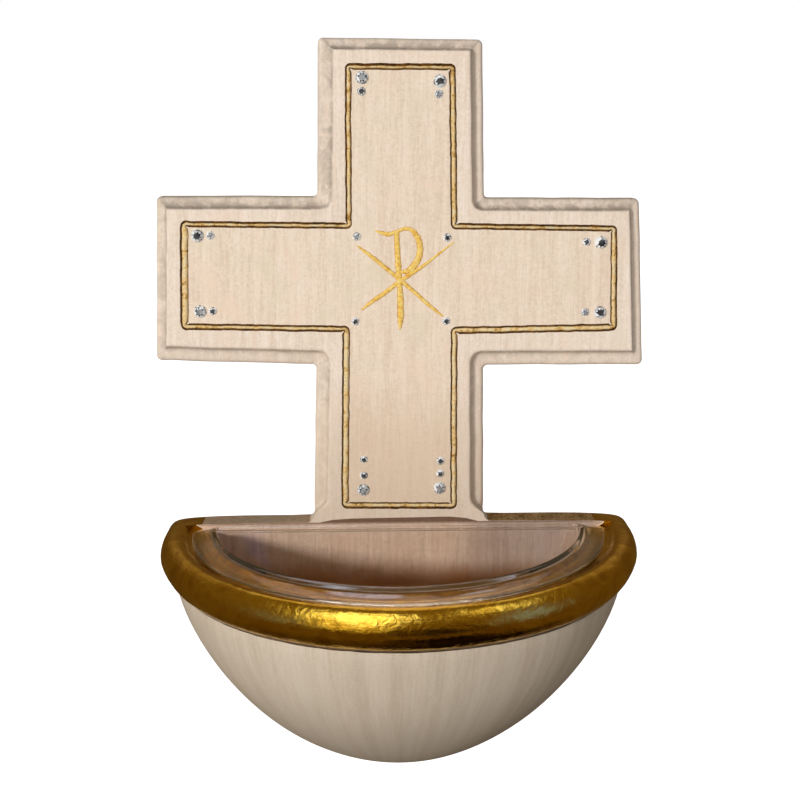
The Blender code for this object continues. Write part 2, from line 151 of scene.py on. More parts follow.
# ------------------------------------------------------------------ node tools
class Look:
    """A material with a Principled shader and short ways to add nodes to it."""

    def __init__(self, name, **sockets):
        self.mat = bpy.data.materials.new(name)
        self.mat.use_nodes = True
        self.tree = self.mat.node_tree
        self.shader = self.tree.nodes["Principled BSDF"]
        for socket, value in sockets.items():
            self.shader.inputs[socket.replace("_", " ")].default_value = value
        self.coords = self.tree.nodes.new("ShaderNodeTexCoord").outputs["Object"]

    def node(self, kind, inputs=None, **settings):
        made = self.tree.nodes.new("ShaderNode" + kind)
        for key, value in settings.items():
            setattr(made, key, value)
        for key, value in (inputs or {}).items():
            if isinstance(value, bpy.types.NodeSocket):
                self.tree.links.new(value, made.inputs[key])
            else:
                made.inputs[key].default_value = value
        return made

    def set(self, socket, value):
        self.tree.links.new(value, self.shader.inputs[socket])

    def mapped(self, scale, turn=(0, 0, 0), shift=(0, 0, 0)):
        return self.node(
            "Mapping", {"Vector": self.coords, "Scale": scale, "Rotation": turn, "Location": shift}
        ).outputs["Vector"]

    def noise(self, scale, turn=(0, 0, 0), detail=4.0, rough=0.55, shift=(0, 0, 0), warp=0.0):
        """Noise with its own scale along each axis, in features per metre."""
        return self.node(
            "TexNoise",
            {"Vector": self.mapped(scale, turn, shift), "Scale": 1.0, "Detail": detail,
             "Roughness": rough, "Distortion": warp},
        ).outputs["Fac"]

    def math(self, operation, a, b=0.0, c=0.0, clamp=False):
        made = self.node("Math", operation=operation, use_clamp=clamp)
        for index, value in enumerate((a, b, c)):
            if isinstance(value, bpy.types.NodeSocket):
                self.tree.links.new(value, made.inputs[index])
            else:
                made.inputs[index].default_value = value
        return made.outputs[0]

    def ramp(self, value, low, high, a=0.0, b=1.0):
        return self.node(
            "MapRange", {"Value": value, "From Min": low, "From Max": high, "To Min": a, "To Max": b},
            interpolation_type="SMOOTHSTEP",
        ).outputs["Result"]

    def colours(self, value, *stops):
        made = self.node("ValToRGB", {"Fac": value})
        ramp = made.color_ramp
        while len(ramp.elements) < len(stops):
            ramp.elements.new(0.5)
        for element, (place, colour) in zip(ramp.elements, stops):
            element.position = place
            element.color = (*colour, 1.0)
        return made.outputs["Color"]

    def mix(self, share, a, b, blend="MIX"):
        made = self.node("Mix", data_type="RGBA", blend_type=blend)
        sockets = {"Factor_Float": share, "A_Color": a, "B_Color": b}
        for socket in made.inputs:
            if socket.identifier in sockets:
                value = sockets[socket.identifier]
                if isinstance(value, bpy.types.NodeSocket):
                    self.tree.links.new(value, socket)
                elif isinstance(value, tuple):
                    socket.default_value = (*value, 1.0)
                else:
                    socket.default_value = value
        return next(s for s in made.outputs if s.identifier == "Result_Color")

    def bump(self, height, strength, distance, after=None):
        made = self.node("Bump", {"Height": height, "Strength": strength, "Distance": distance})
        if after is not None:
            self.tree.links.new(after, made.inputs["Normal"])
        self.set("Normal", made.outputs["Normal"])
        return made.outputs["Normal"]


# ------------------------------------------------------------------ materials
def glazed_wood(name, light, mid, dark, warm, cool, glaze_and_shade=None, streak=0.45, tint=0.5, fibre=0.4, shift=(0, 0, 0), rough=0.5, patch=(105, 105, 70), stain_and_shade=None, turned=False, aside=None, line=None):
    """White-glazed wood with an upright grain, warm and cool patches and pale fibres.
    One colour, named like its point attribute, is glazing sunk into the hollows together with painted shade, laid where
    that attribute is high;
    another is painted shade that comes in with depth: height it starts at and is full at, share, colour.
    aside is painted shade towards one side, and line the painted shadow under the board's edge.
    On turned wood the pattern runs down from the rim."""
    w = Look(name, Roughness=rough, IOR=1.45)
    if turned:
        split = w.node("SeparateXYZ", {"Vector": w.coords})
        angle = w.math("ARCTAN2", w.math("ADD", split.outputs["Y"], 0.007), split.outputs["X"])
        w.coords = w.node("CombineXYZ", {"X": w.math("MULTIPLY", angle, 0.045), "Z": split.outputs["Z"]}).outputs["Vector"]
    wide = w.noise((430, 430, 20), detail=5.0, shift=shift, warp=0.5)
    fine = w.noise((2100, 2100, 150), detail=4.0, shift=shift)
    speck = w.noise((1500, 1500, 1500), detail=4.0, rough=0.65, shift=shift)
    grain = w.math("MULTIPLY", wide, streak)
    grain = w.math("ADD", grain, w.math("MULTIPLY", fine, 0.30))
    grain = w.math("ADD", grain, w.math("MULTIPLY", speck, 0.70 - streak))
    base = w.colours(w.ramp(grain, 0.37, 0.63), (0.0, dark), (0.5, mid), (1.0, light))
    # the glaze was rubbed on unevenly: rosy and greenish patches
    blush = w.noise(patch, detail=3.0, shift=(shift[0] + 3.1, shift[1], shift[2] + 7.7), warp=0.8)
    base = w.mix(w.ramp(blush, 0.50, 0.72, 0.0, tint), base, warm)
    base = w.mix(w.ramp(blush, 0.48, 0.28, 0.0, tint), base, cool)
    # pale fibres of the brush and the sanding, in patches
    where = w.ramp(w.noise((140, 140, 140), detail=2.0, shift=(shift[0], 2.0, 6.0)), 0.42, 0.62, 0.25, 1.0)
    lines = None
    for angle, along, across, offset in ((14.0, 620, 4300, 1.0), (-31.0, 520, 4600, 4.0), (57.0, 380, 3600, 8.0)):
        strand = w.noise((along, 900, across), turn=(0, math.radians(angle), 0), detail=2.0, shift=(offset, 0, offset * 2))
        strand = w.ramp(strand, 0.61, 0.72)
        lines = strand if lines is None else w.math("MAXIMUM", lines, strand)
    lines = w.math("MULTIPLY", lines, where)
    base = w.mix(w.math("MULTIPLY", lines, fibre), base, tuple(min(1.0, c * 1.09) for c in light))
    # open pores and small knocks
    pores = w.noise((2600, 2600, 520), detail=2.0, shift=(9.0, 1.0, 4.0))
    base = w.mix(w.ramp(pores, 0.68, 0.80, 0.0, 0.35), base, tuple(c * 0.80 for c in dark))
    # glazing sunk into the moulding's hollows, together with painted shade that is heaviest on the upward-facing edges
    if glaze_and_shade:
        settled_and_shaded = w.node("Attribute", attribute_name="glaze_and_shade").outputs["Fac"]
        uneven = w.ramp(w.noise((330, 330, 330), detail=5.0, rough=0.62, warp=0.6), 0.34, 0.66, 0.35, 1.25)
        base = w.mix(w.math("MULTIPLY", settled_and_shaded, uneven, clamp=True), base, glaze_and_shade)
    # painted shade that comes in with depth
    if stain_and_shade:
        start, full, share, colour = stain_and_shade
        height = w.node("SeparateXYZ", {"Vector": w.coords}).outputs["Z"]
        height = w.math("ADD", height, w.math("MULTIPLY", blush, 0.004))
        base = w.mix(w.ramp(height, start * MM + 0.002, full * MM + 0.002, 0.0, share), base, colour)
    # painted shade towards one side
    if aside:
        start, full, share, colour = aside
        across = w.node("SeparateXYZ", {"Vector": w.coords}).outputs["X"]
        across = w.math("ADD", across, w.math("MULTIPLY", blush, 0.004))
        base = w.mix(w.ramp(across, start * MM + 0.002, full * MM + 0.002, 0.0, share), base, colour, "MULTIPLY")
    # painted shadow line under the board's edge
    if line:
        start, full, share, colour = line
        place = w.node("SeparateXYZ", {"Vector": w.coords})
        level = w.math("SUBTRACT", place.outputs["Z"], w.math("MULTIPLY", place.outputs["X"], LEAN))
        level = w.math("ADD", level, w.math("MULTIPLY", wide, 0.0006))
        base = w.mix(w.ramp(level, start * MM + 0.0003, full * MM + 0.0003, 0.0, share), base, colour)
    w.set("Base Color", base)
    w.set("Roughness", w.ramp(w.math("ADD", w.math("MULTIPLY", fine, 0.5), w.math("MULTIPLY", speck, 0.5)), 0.3, 0.7, rough - 0.08, rough + 0.14))
    height = w.math("ADD", w.math("MULTIPLY", fine, 0.5), w.math("MULTIPLY", speck, 0.5))
    height = w.math("ADD", height, w.math("MULTIPLY", lines, 0.5))
    w.bump(height, 0.25, 0.00012)
    return w.mat


# on the board and the border, the colour coming in with depth is painted shade: the lower arm darkens towards the bowl
board_wood = glazed_wood(
    "glazed_board", (0.925, 0.795, 0.665), (0.858, 0.714, 0.574), (0.765, 0.614, 0.476),
    warm=(0.900, 0.705, 0.560), cool=(0.800, 0.700, 0.530), glaze_and_shade=(0.46, 0.375, 0.295), streak=0.32, tint=0.6,
    stain_and_shade=(40.0, 20.0, 0.50, (0.765, 0.585, 0.420)),
)
border_wood = glazed_wood(
    "glazed_border", (0.935, 0.822, 0.715), (0.868, 0.738, 0.614), (0.775, 0.638, 0.512),
    warm=(0.905, 0.730, 0.600), cool=(0.820, 0.725, 0.580), glaze_and_shade=(0.46, 0.385, 0.315), streak=0.32, tint=0.5, shift=(2.0, 5.0, 3.0),
    stain_and_shade=(40.0, 20.0, 0.45, (0.745, 0.595, 0.455)),
)
# the bowl's glaze is a darker copy of the board's glaze, painted shade, and its colour coming in with depth darkens it
# further towards the bottom as painted shade
shaded_bowl_wood = glazed_wood(
    "glazed_bowl", (0.650, 0.565, 0.458), (0.605, 0.514, 0.405), (0.540, 0.450, 0.346),
    warm=(0.640, 0.505, 0.375), cool=(0.560, 0.500, 0.375), streak=0.42, tint=0.20, fibre=0.35, shift=(4.0, 2.0, 1.0), rough=0.42, patch=(170, 170, 9), turned=True,
    stain_and_shade=(-19.0, -46.0, 0.47, (0.362, 0.284, 0.214)),
)
# the face inside the bowl: a darker copy of the wood as painted shade, with a painted shadow of the front rim coming in
# with depth, painted shade towards the right side and a painted shadow line under the board's edge
shaded_inner_wood = glazed_wood(
    "inner_wood_shaded", (0.845, 0.655, 0.525), (0.750, 0.555, 0.430), (0.615, 0.435, 0.325),
    warm=(0.750, 0.525, 0.395), cool=(0.690, 0.540, 0.410), streak=0.40, tint=0.5, shift=(3.0, 1.0, 5.0), rough=0.4,
    stain_and_shade=(-9.0, -17.2, 0.94, (0.350, 0.104, 0.006)), aside=(12.0, 24.0, 1.0, (0.700, 0.715, 0.765)),
    line=(-1.0, 0.15, 0.86, (0.110, 0.042, 0.014)),
)
bare_wood = glazed_wood(
    "bare_wood", (0.66, 0.47, 0.29), (0.58, 0.39, 0.22), (0.47, 0.30, 0.16),
    warm=(0.62, 0.40, 0.22), cool=(0.56, 0.41, 0.25), streak=0.5, fibre=0.1, shift=(1.0, 8.0, 3.0), rough=0.62,
)
strip_wood = glazed_wood(
    "strip_wood", (0.70, 0.520, 0.370), (0.57, 0.405, 0.270), (0.37, 0.25, 0.155),
    warm=(0.62, 0.40, 0.25), cool=(0.54, 0.42, 0.29), streak=0.3, fibre=0.2, shift=(6.0, 3.0, 2.0), rough=0.42,
)


def gold_leaf():
    """Polished leaf: slow unevenness, fine wrinkles, thin spots where the dark ground shows."""
    g = Look("gold_leaf", Metallic=1.0)
    cloud = g.noise((150, 150, 200), detail=3.0, warp=0.8)
    wrinkle = g.noise((620, 620, 820), detail=5.0, rough=0.6, shift=(3.0, 1.0, 2.0), warp=0.9)
    # the brush ran along the rim
    split = g.node("SeparateXYZ", {"Vector": g.coords})
    ahead = g.math("ADD", split.outputs["Y"], 0.007)
    radius = g.math("SQRT", g.math("ADD", g.math("MULTIPLY", split.outputs["X"], split.outputs["X"]), g.math("MULTIPLY", ahead, ahead)))
    angle = g.math("ARCTAN2", ahead, split.outputs["X"])
    along = g.node("CombineXYZ", {"X": g.math("MULTIPLY", radius, 2300.0), "Y": g.math("MULTIPLY", angle, 7.0), "Z": g.math("MULTIPLY", split.outputs["Z"], 2300.0)})
    brush = g.node("TexNoise", {"Vector": along.outputs["Vector"], "Scale": 1.0, "Detail": 3.0, "Roughness": 0.6, "Distortion": 0.4}).outputs["Fac"]
    base = g.colours(
        g.ramp(cloud, 0.28, 0.72), (0.0, (0.70, 0.385, 0.030)), (0.45, (0.84, 0.500, 0.050)), (1.0, (0.94, 0.620, 0.085))
    )
    worn = g.math("MULTIPLY", g.ramp(wrinkle, 0.62, 0.74), g.ramp(cloud, 0.56, 0.40))
    base = g.mix(g.math("MULTIPLY", worn, 0.6), base, (0.24, 0.085, 0.012))
    g.set("Base Color", base)
    g.set("Roughness", g.ramp(g.math("ADD", g.math("MULTIPLY", wrinkle, 0.6), g.math("MULTIPLY", brush, 0.4)), 0.3, 0.7, 0.09, 0.26))
    first = g.bump(cloud, 0.22, 0.0011)
    second = g.bump(wrinkle, 0.28, 0.00036, first)
    g.bump(brush, 0.30, 0.00010, second)
    return g.mat


def gold_paint(name, bright, mid, dark, metal, scale, shift=(0, 0, 0), rough=0.34, low=0.32, high=0.68):
    """Hand-laid gold paint: brush-long patches of thick and thin colour."""
    g = Look(name, Metallic=metal, IOR=1.45)
    thick = g.noise((scale, scale, scale), detail=4.0, shift=shift, warp=0.7)
    grit = g.noise((scale * 4.5, scale * 4.5, scale * 4.5), detail=3.0, shift=shift)
    value = g.math("ADD", g.math("MULTIPLY", thick, 0.65), g.math("MULTIPLY", grit, 0.35))
    g.set("Base Color", g.colours(g.ramp(value, low, high), (0.0, dark), (0.42, mid), (1.0, bright)))
    g.set("Roughness", g.ramp(grit, 0.3, 0.7, rough - 0.1, rough + 0.14))
    g.bump(value, 0.5, 0.00018)
    return g.mat


rim_gold = gold_leaf()
# gold paint of the line, its brightest patches painted highlights
line_gold_and_glints = gold_paint("line_gold_and_glints", (1.0, 0.83, 0.51), (0.95, 0.645, 0.25), (0.40, 0.20, 0.04), 0.15, 520, low=0.30, high=0.62)
# dark brown for the walls of the gold line's groove: painted shade
line_edge_shade = gold_paint("line_edge_shade", (0.25, 0.12, 0.024), (0.095, 0.038, 0.008), (0.036, 0.013, 0.003), 0.2, 600)
sign_gold = gold_paint("sign_gold", (1.0, 0.83, 0.32), (1.0, 0.66, 0.145), (0.80, 0.39, 0.05), 0.10, 1100, rough=0.3)
# darker orange for the walls of the gold sign's strokes: painted shade
sign_edge_shade = gold_paint("sign_edge_shade", (0.86, 0.46, 0.10), (0.60, 0.27, 0.045), (0.36, 0.14, 0.02), 0.10, 1100, rough=0.34)
# dark brown for the rim's lower roll: painted shade in the crease against the bowl
rim_crease_shade = gold_paint("rim_crease_shade", (0.20, 0.095, 0.018), (0.085, 0.036, 0.008), (0.035, 0.014, 0.004), 0.2, 420)
strip_gold = gold_paint("strip_gold", (0.72, 0.48, 0.24), (0.52, 0.32, 0.14), (0.27, 0.155, 0.06), 0.4, 300, rough=0.3)
seat_gold = gold_paint("seat_gold", (0.33, 0.130, 0.006), (0.235, 0.078, 0.003), (0.14, 0.040, 0.002), 0.1, 240, rough=0.6)
inside_gold = gold_paint("inside_gold", (0.62, 0.36, 0.10), (0.52, 0.27, 0.06), (0.38, 0.17, 0.035), 0.15, 160, rough=0.4)


def clear_plastic():
    """Clear moulded plastic with faint flow lines and handling marks."""
    c = Look("clear_plastic", IOR=1.14, Transmission_Weight=1.0, Coat_Weight=1.0, Coat_IOR=1.9, Coat_Roughness=0.04)
    smear = c.noise((70, 70, 160), detail=4.0, warp=1.0)
    c.set("Base Color", c.colours(c.ramp(smear, 0.3, 0.7), (0.0, (0.965, 0.945, 0.915)), (1.0, (0.985, 0.975, 0.955))))
    c.set("Roughness", c.ramp(smear, 0.45, 0.8, 0.02, 0.08))
    wave = c.noise((60, 60, 60), detail=1.0)
    c.bump(wave, 0.06, 0.0009)
    return c.mat


clear = clear_plastic()


def facet(name, light, dark, metal):
    """One brightness of painted reflection for the facets of foil-backed cut glass."""
    c = Look(name, Metallic=metal, Roughness=0.08, IOR=1.55)
    cells = c.node("TexVoronoi", {"Vector": c.mapped((1500, 1500, 1500)), "Scale": 1.0}, feature="F1").outputs["Color"]
    grey = c.node("SeparateColor", {"Color": cells}).outputs[0]
    c.set("Base Color", c.colours(grey, (0.0, dark), (1.0, light)))
    return c.mat


# three brightnesses of painted reflection for the facets
facet_reflection_mats = [
    facet("crystal_painted_glint", (1.0, 1.0, 1.0), (0.80, 0.84, 0.88), 0.05),
    facet("crystal_painted_grey", (0.60, 0.63, 0.66), (0.30, 0.33, 0.36), 0.30),
    facet("crystal_painted_dark", (0.13, 0.14, 0.15), (0.035, 0.04, 0.045), 0.30),
]


def metal(name, light, dark, rough):
    m = Look(name, Metallic=1.0)
    brush = m.noise((260, 5200, 5200), detail=3.0)
    stain_and_shade = m.noise((420, 420, 420), detail=4.0)
    m.set("Base Color", m.colours(m.ramp(stain_and_shade, 0.3, 0.7), (0.0, dark), (1.0, light)))
    m.set("Roughness", m.ramp(brush, 0.3, 0.7, rough - 0.08, rough + 0.12))
    m.bump(brush, 0.25, 0.00005)
    return m.mat


brass = metal("plate_brass", (0.83, 0.62, 0.27), (0.60, 0.40, 0.15), 0.34)
zinc = metal("zinc_steel", (0.72, 0.72, 0.73), (0.50, 0.50, 0.52), 0.33)

# ------------------------------------------------------------------ back board
# corners of the hand-cut cross, from the right foot round the top to the left foot
CROSS = [
    (21.75, 0.0), (20.98, 40.12), (61.0, 40.25), (58.4, 81.69), (20.35, 81.55), (19.38, 118.95),
    (-19.82, 119.25), (-20.26, 81.81), (-59.24, 81.74), (-60.56, 41.2), (-20.88, 40.15), (-21.75, 0.0),
]
HOLLOW = {1, 4, 7, 10}                       # re-entrant corners
MOULD_W = [1.20, 1.38, 1.00, 0.98, 1.04, 0.95, 1.28, 0.98, 0.98, 1.38, 1.20]   # width of the moulding, per edge
GLAZE_AND_SHADE_EDGE = [0.40, 0.40, 0.30, 1.10, 0.20, 1.22, 0.90, 1.12, 0.75, 0.46, 0.65]   # settled glaze and painted shade, per edge, heaviest on the upward-facing edges
# moulding from the wall face to the front: inset, depth, settled glaze and painted shade
PROFILE = [
    (0.80, 0.00, 0.0), (0.35, 0.10, 0.0), (0.10, 0.35, 0.05), (0.00, 0.80, 0.1), (0.00, 2.20, 0.3), (0.00, 3.55, 0.4),
    (0.04, 3.98, 0.4), (0.15, 4.34, 0.42), (0.34, 4.62, 0.45), (0.60, 4.80, 0.48), (0.95, 4.90, 0.52), (1.35, 4.95, 0.60),
    (1.72, 5.00, 0.72), (2.02, 5.10, 0.82), (2.28, 5.30, 0.92), (2.48, 5.62, 1.0), (2.64, 6.02, 1.0), (2.78, 6.42, 0.95),
    (2.90, 6.71, 0.7), (3.04, 6.89, 0.35), (3.22, 6.97, 0.1), (3.46, 7.00, 0.0), (3.80, 7.00, 0.0),
]
FOOT_R = 1.6


def crossing(p, d, q, e):
    k = ((q.x - p.x) * e.y - (q.y - p.y) * e.x) / (d.x * e.y - d.y * e.x)
    return p + d * k


def cross_chain(inset):
    """Outline of the cross from foot to foot, moved inwards, with the edge of each point."""
    corners = [Vector(c) for c in CROSS]
    ways = [(b - a).normalized() for a, b in zip(corners, corners[1:])]
    starts = [
        a + Vector((-w.y, w.x)) * (inset * MOULD_W[i]) for i, (a, w) in enumerate(zip(corners, ways))
    ]
    level = Vector((1.0, 0.0))
    moved = [crossing(starts[0], ways[0], Vector((0, 0)), level)]
    for i in range(1, len(ways)):
        moved.append(crossing(starts[i - 1], ways[i - 1], starts[i], ways[i]))
    moved.append(crossing(starts[-1], ways[-1], Vector((0, 0)), level))
    rounds = []
    last = len(moved) - 1
    for i, at in enumerate(moved):
        if i == 0:
            rounds.append(rounding(at + level * 9, at, moved[1], FOOT_R, 8))
        elif i == last:
            rounds.append(rounding(moved[i - 1], at, at - level * 9, FOOT_R, 8))
        else:
            wide = inset * (MOULD_W[i - 1] + MOULD_W[i]) / 2
            radius = 1.2 + 0.5 * wide if i in HOLLOW else max(1.35 - wide, 0.16)
            rounds.append(rounding(moved[i - 1], at, moved[i + 1], radius, 9))
    chain = []
    for i, arc in enumerate(rounds):
        chain += [(p, min(i, last - 1) if k > len(arc) // 2 else max(i - 1, 0)) for k, p in enumerate(arc)]
        if i == last:
            break
        a, b = Vector(arc[-1]), Vector(rounds[i + 1][0])
        if i == 0:
            shares = (0.01, 0.025, 0.04, 0.06, 0.085, 0.12, 0.2, 0.35, 0.5, 0.65, 0.8, 0.92)
        elif i == last - 1:
            shares = (0.08, 0.2, 0.35, 0.5, 0.65, 0.8, 0.88, 0.915, 0.94, 0.96, 0.975, 0.99)
        else:
            shares = [k / 9 for k in range(1, 9)]
        chain += [(tuple(a.lerp(b, s)), i) for s in shares]
    return chain


# outside of the gilded rim, from its lower edge to its crown
RIM_SIDE = [
    (56.35, -10.30), (56.50, -10.06), (56.85, -9.72), (57.40, -9.25), (58.02, -8.60), (58.55, -7.85), (58.98, -7.10), (59.24, -6.30),
    (59.30, -5.50), (59.15, -4.75), (58.85, -4.02), (58.45, -3.30), (57.95, -2.62), (57.40, -2.00), (56.80, -1.44), (56.25, -1.05),
    (55.75, -0.84), (55.25, -0.76), (54.80, -0.78),
]


# its outside where it runs out on the board: wider and squarer
END_SIDE = [
    (56.60, -10.30), (56.85, -10.06), (57.35, -9.72), (58.10, -9.25), (58.85, -8.60), (59.40, -7.85), (59.78, -7.10), (59.97, -6.40),
    (60.03, -5.70), (59.97, -4.95), (59.80, -4.20), (59.52, -3.40), (59.10, -2.58), (58.55, -1.92), (57.85, -1.40), (57.00, -1.04),
    (56.10, -0.82), (55.25, -0.68), (54.60, -0.60),
]


def flared(k, share):
    """Point k of the rim's outside, partly or fully spread."""
    (r0, z0), (r1, z1) = RIM_SIDE[k], END_SIDE[k]
    return r0 + (r1 - r0) * share, z0 + (z1 - z0) * share


def lower_chain(inset):
    """The board behind the bowl and rim, from the left foot round the bottom to the right foot."""
    right = []
    count = 44
    for k in range(count + 1):
        z = -RIM_H - BODY_H * (1.0 - (k / count) ** 2)
        if z > -RIM_H - 2.4:
            break
        right.append((max(0.0, body_radius(z) - 0.8), z + 0.6))
    right[0] = (0.0, right[0][1])
    right += END_SIDE[3:]
    right += [(53.0, -0.44), (50.0, -0.26), (46.0, -0.10), (40.0, 0.0), (34.0, 0.0), (28.0, 0.0)]
    moved = []
    for k, (x, z) in enumerate(right):
        a, b = Vector(right[max(0, k - 1)]), Vector(right[min(len(right) - 1, k + 1)])
        way = (b - a).normalized() if k else Vector((1.0, 0.0))
        moved.append((max(0.0, x - way.y * inset), z + way.x * inset))
    moved[0] = (0.0, moved[0][1])
    return [(-x, z) for x, z in reversed(moved[1:])] + moved


base_cross = cross_chain(0.0)
rings, settled_and_shaded = [], []
for step, (inset, depth, glaze_and_shade) in enumerate(PROFILE):
    at_back = depth < 0.85
    spread = depth if at_back else 0.8 + 6.2 * (step - 3) / (len(PROFILE) - 4)
    ring, values = [], []
    for (p0, edge), (p1, _) in zip(base_cross, cross_chain(inset)):
        share = 1.0 if at_back else smoothstep(FOOT_R - 0.2, 5.6, p0[1])
        x = p0[0] + (p1[0] - p0[0]) * share
        z = p0[1] + (p1[1] - p0[1]) * share
        # knife-cut edges are never quite straight
        sway = noise.noise(Vector((p0[0] * 0.13, 0.0, p0[1] * 0.13))) * 0.16
        sway += noise.noise(Vector((p0[0] * 0.5, 3.0, p0[1] * 0.5))) * 0.05
        keep = smoothstep(3.0, 9.0, p0[1])
        y = -(spread + (depth - spread) * share)
        ring.append((x + sway * keep, y, z + sway * keep * 0.7 + LEAN * x * (1.0 - smoothstep(0.0, 8.0, z))))
        values.append(glaze_and_shade * GLAZE_AND_SHADE_EDGE[edge] * share)
    for x, z in lower_chain(inset * 0.5 if at_back else 0.0):
        ring.append((x, -spread, z + LEAN * x))
        values.append(0.0)
    rings.append(ring)
    settled_and_shaded.append(values)

board_slots = [border_wood, line_gold_and_glints, line_edge_shade, rim_gold, bare_wood, strip_gold, strip_wood, board_wood, shaded_inner_wood]
bm = bmesh.new()
layer = bm.verts.layers.float.new("glaze_and_shade")
made = skin(bm, rings, cap_first=4, cap_last=0)
for ring, values in zip(made, settled_and_shaded):
    for vert, value in zip(ring, values):
        vert[layer] = value
bmesh.ops.recalc_face_normals(bm, faces=bm.faces)
for face in bm.faces:
    x, y, z = face.calc_center_median()
    if abs(face.normal.y) < 0.7 and -10.8 < z < 0.9 and abs(x) > 22.6:
        face.material_index = 3 if abs(x) > 50.5 else 5 if x > 0 else 6
board = finished("board", bm, board_slots, sharp=40.0)

# the gold line: a hand-cut groove, its run a little uneven
LINE = [
    (-12.58, 112.43), (12.11, 112.43), (13.04, 74.93), (51.95, 74.53), (52.85, 50.17), (13.38, 49.30),
    (13.81, 4.22), (-13.74, 4.35), (-13.25, 49.63), (-52.95, 50.16), (-52.32, 75.20), (-12.55, 74.97),
]


LINE_R = 0.55
LINE_GROW = [0.0, 0.10, 0.0, 0.12, 0.35, 0.16, 0.20, 0.36, 0.10, 0.50, 0.0, 0.0]   # extra width, per run


def line_path():
    """The middle of the line, its corners rounded, as points about 0.7 mm apart."""
    count = len(LINE)
    rounds = [rounding(LINE[i - 1], LINE[i], LINE[(i + 1) % count], LINE_R, 6) for i in range(count)]
    path = []
    for i, arc in enumerate(rounds):
        # 1 at a corner that turns left, -1 at one that turns right, 0 along the straight runs
        before, after = Vector(LINE[i]) - Vector(LINE[i - 1]), Vector(LINE[(i + 1) % count]) - Vector(LINE[i])
        bend = 1 if before.x * after.y - before.y * after.x > 0 else -1
        path += [(Vector(p), bend, (LINE_GROW[i - 1] + LINE_GROW[i]) / 2) for p in arc]
        a, b = Vector(arc[-1]), Vector(rounds[(i + 1) % count][0])
        steps = int((b - a).length / 0.7)
        path += [(a.lerp(b, k / steps), 0, LINE_GROW[i]) for k in range(1, steps)]
    return path


def line_rings():
    path = line_path()
    rings = []
    light_side = Vector((-0.6, 0.8))
    for n, (p, bend, grow) in enumerate(path):
        way = (path[(n + 1) % len(path)][0] - path[n - 1][0]).normalized()
        side = Vector((-way.y, way.x))
        spot = Vector((p.x * 0.45, 0.0, p.y * 0.45))
        shift = (0.10 * noise.noise(spot * 0.5) + 0.03 * noise.noise(spot * 2.4)) * (0.0 if bend else 1.0)
        a = 0.78 + grow / 2 + 0.10 * noise.noise(spot + Vector((5, 0, 0))) + 0.06 * noise.noise(spot * 3.1)
        b = 0.78 + grow / 2 + 0.10 * noise.noise(spot + Vector((0, 9, 0))) + 0.06 * noise.noise(spot * 2.7 + Vector((4, 4, 0)))
        # the dark edges of the line are painted shade on the groove's walls: wider on its upper and left side
        wall = 0.36 if abs(way.y) > abs(way.x) else 0.50
        wall_a = wall - 0.11 * side.dot(light_side) + 0.09 * noise.noise(spot * 1.9 + Vector((1, 2, 3)))
        wall_b = wall + 0.11 * side.dot(light_side) + 0.09 * noise.noise(spot * 2.2 + Vector((6, 2, 1)))
        # the inner side of a corner is pinched
        if bend > 0:
            b = LINE_R - 0.06
            wall_b = 0.2
        elif bend < 0:
            a = LINE_R - 0.06
            wall_a = 0.2
        deep = 0.60 + 0.08 * noise.noise(spot * 1.3 + Vector((0, 0, 8)))
        crown = 0.30 + 0.10 * noise.noise(spot * 3.7 + Vector((2, 0, 0)))
        left, right = -a + wall_a, b - wall_b
        middle = (left + right) / 2
        section = [
            (-a, FACE - 0.5), (-a, FACE), (left, FACE + deep), (left * 0.6 + middle * 0.4, FACE + crown + 0.08),
            (middle, FACE + crown), (right * 0.6 + middle * 0.4, FACE + crown + 0.08), (right, FACE + deep),
            (b, FACE), (b, FACE - 0.5),
        ]
        rings.append([(p.x + side.x * (s + shift), y, p.y + side.y * (s + shift)) for s, y in section])
    return rings


bm = bmesh.new()
sections = line_rings()
# the groove's walls take the painted shade
WALLS = {1: 2, 6: 2}
skin(bm, sections + [sections[0]], slot_of=lambda k, i: WALLS.get(i, 1))
bmesh.ops.remove_doubles(bm, verts=bm.verts, dist=1e-5)
carve(board, finished("line_cutter", bm, board_slots))


# the leaf runs on over the board's face beside the insert
for side in (-1, 1):
    bm = bmesh.new()
    outline = [(48.8, -12.0), (62.5, -12.0), (62.5, 3.0), (52.7, 3.0), (52.3, -0.3), (51.4, -1.0), (50.1, -1.7), (49.1, -2.9)]
    outline = [(side * x, z) for x, z in outline]
    skin(bm, [[(x, FACE - 1.0, z) for x, z in outline], [(x, FACE + 0.04, z) for x, z in outline]],
         slot_of=lambda k, i: 3, cap_first=3, cap_last=3)
    carve(board, finished("leaf_cutter", bm, board_slots))


# the face inside the bowl, and a band above it in the middle, take the darker wood of painted shade with its painted
# shadows
shaded_face = [(-44.0, -0.05), (-47.5, -0.20), (-50.0, -0.32), (-52.1, -0.62), (-51.2, -1.15), (-49.9, -1.85), (-48.9, -3.05), (-48.7, -RIM_H)] + [(-min(48.7, r + 0.3), z) for r, z in reversed(CAVITY) if z < -RIM_H - 3.0 and r > 0.0]
shaded_face += [(-x, z) for x, z in reversed(shaded_face)]
shaded_face += [(20.2, -0.05), (17.0, 0.80), (13.0, 1.22), (-12.0, 0.96), (-17.0, 0.64), (-20.2, -0.05)]
shaded_face = [(x, z + LEAN * x) for x, z in shaded_face]
bm = bmesh.new()
skin(bm, [[(x, FACE - 1.0, z) for x, z in shaded_face], [(x, FACE + 0.04, z) for x, z in shaded_face]],
     slot_of=lambda k, i: 8, cap_first=8, cap_last=8)
carve(board, finished("shaded_face_cutter", bm, board_slots))


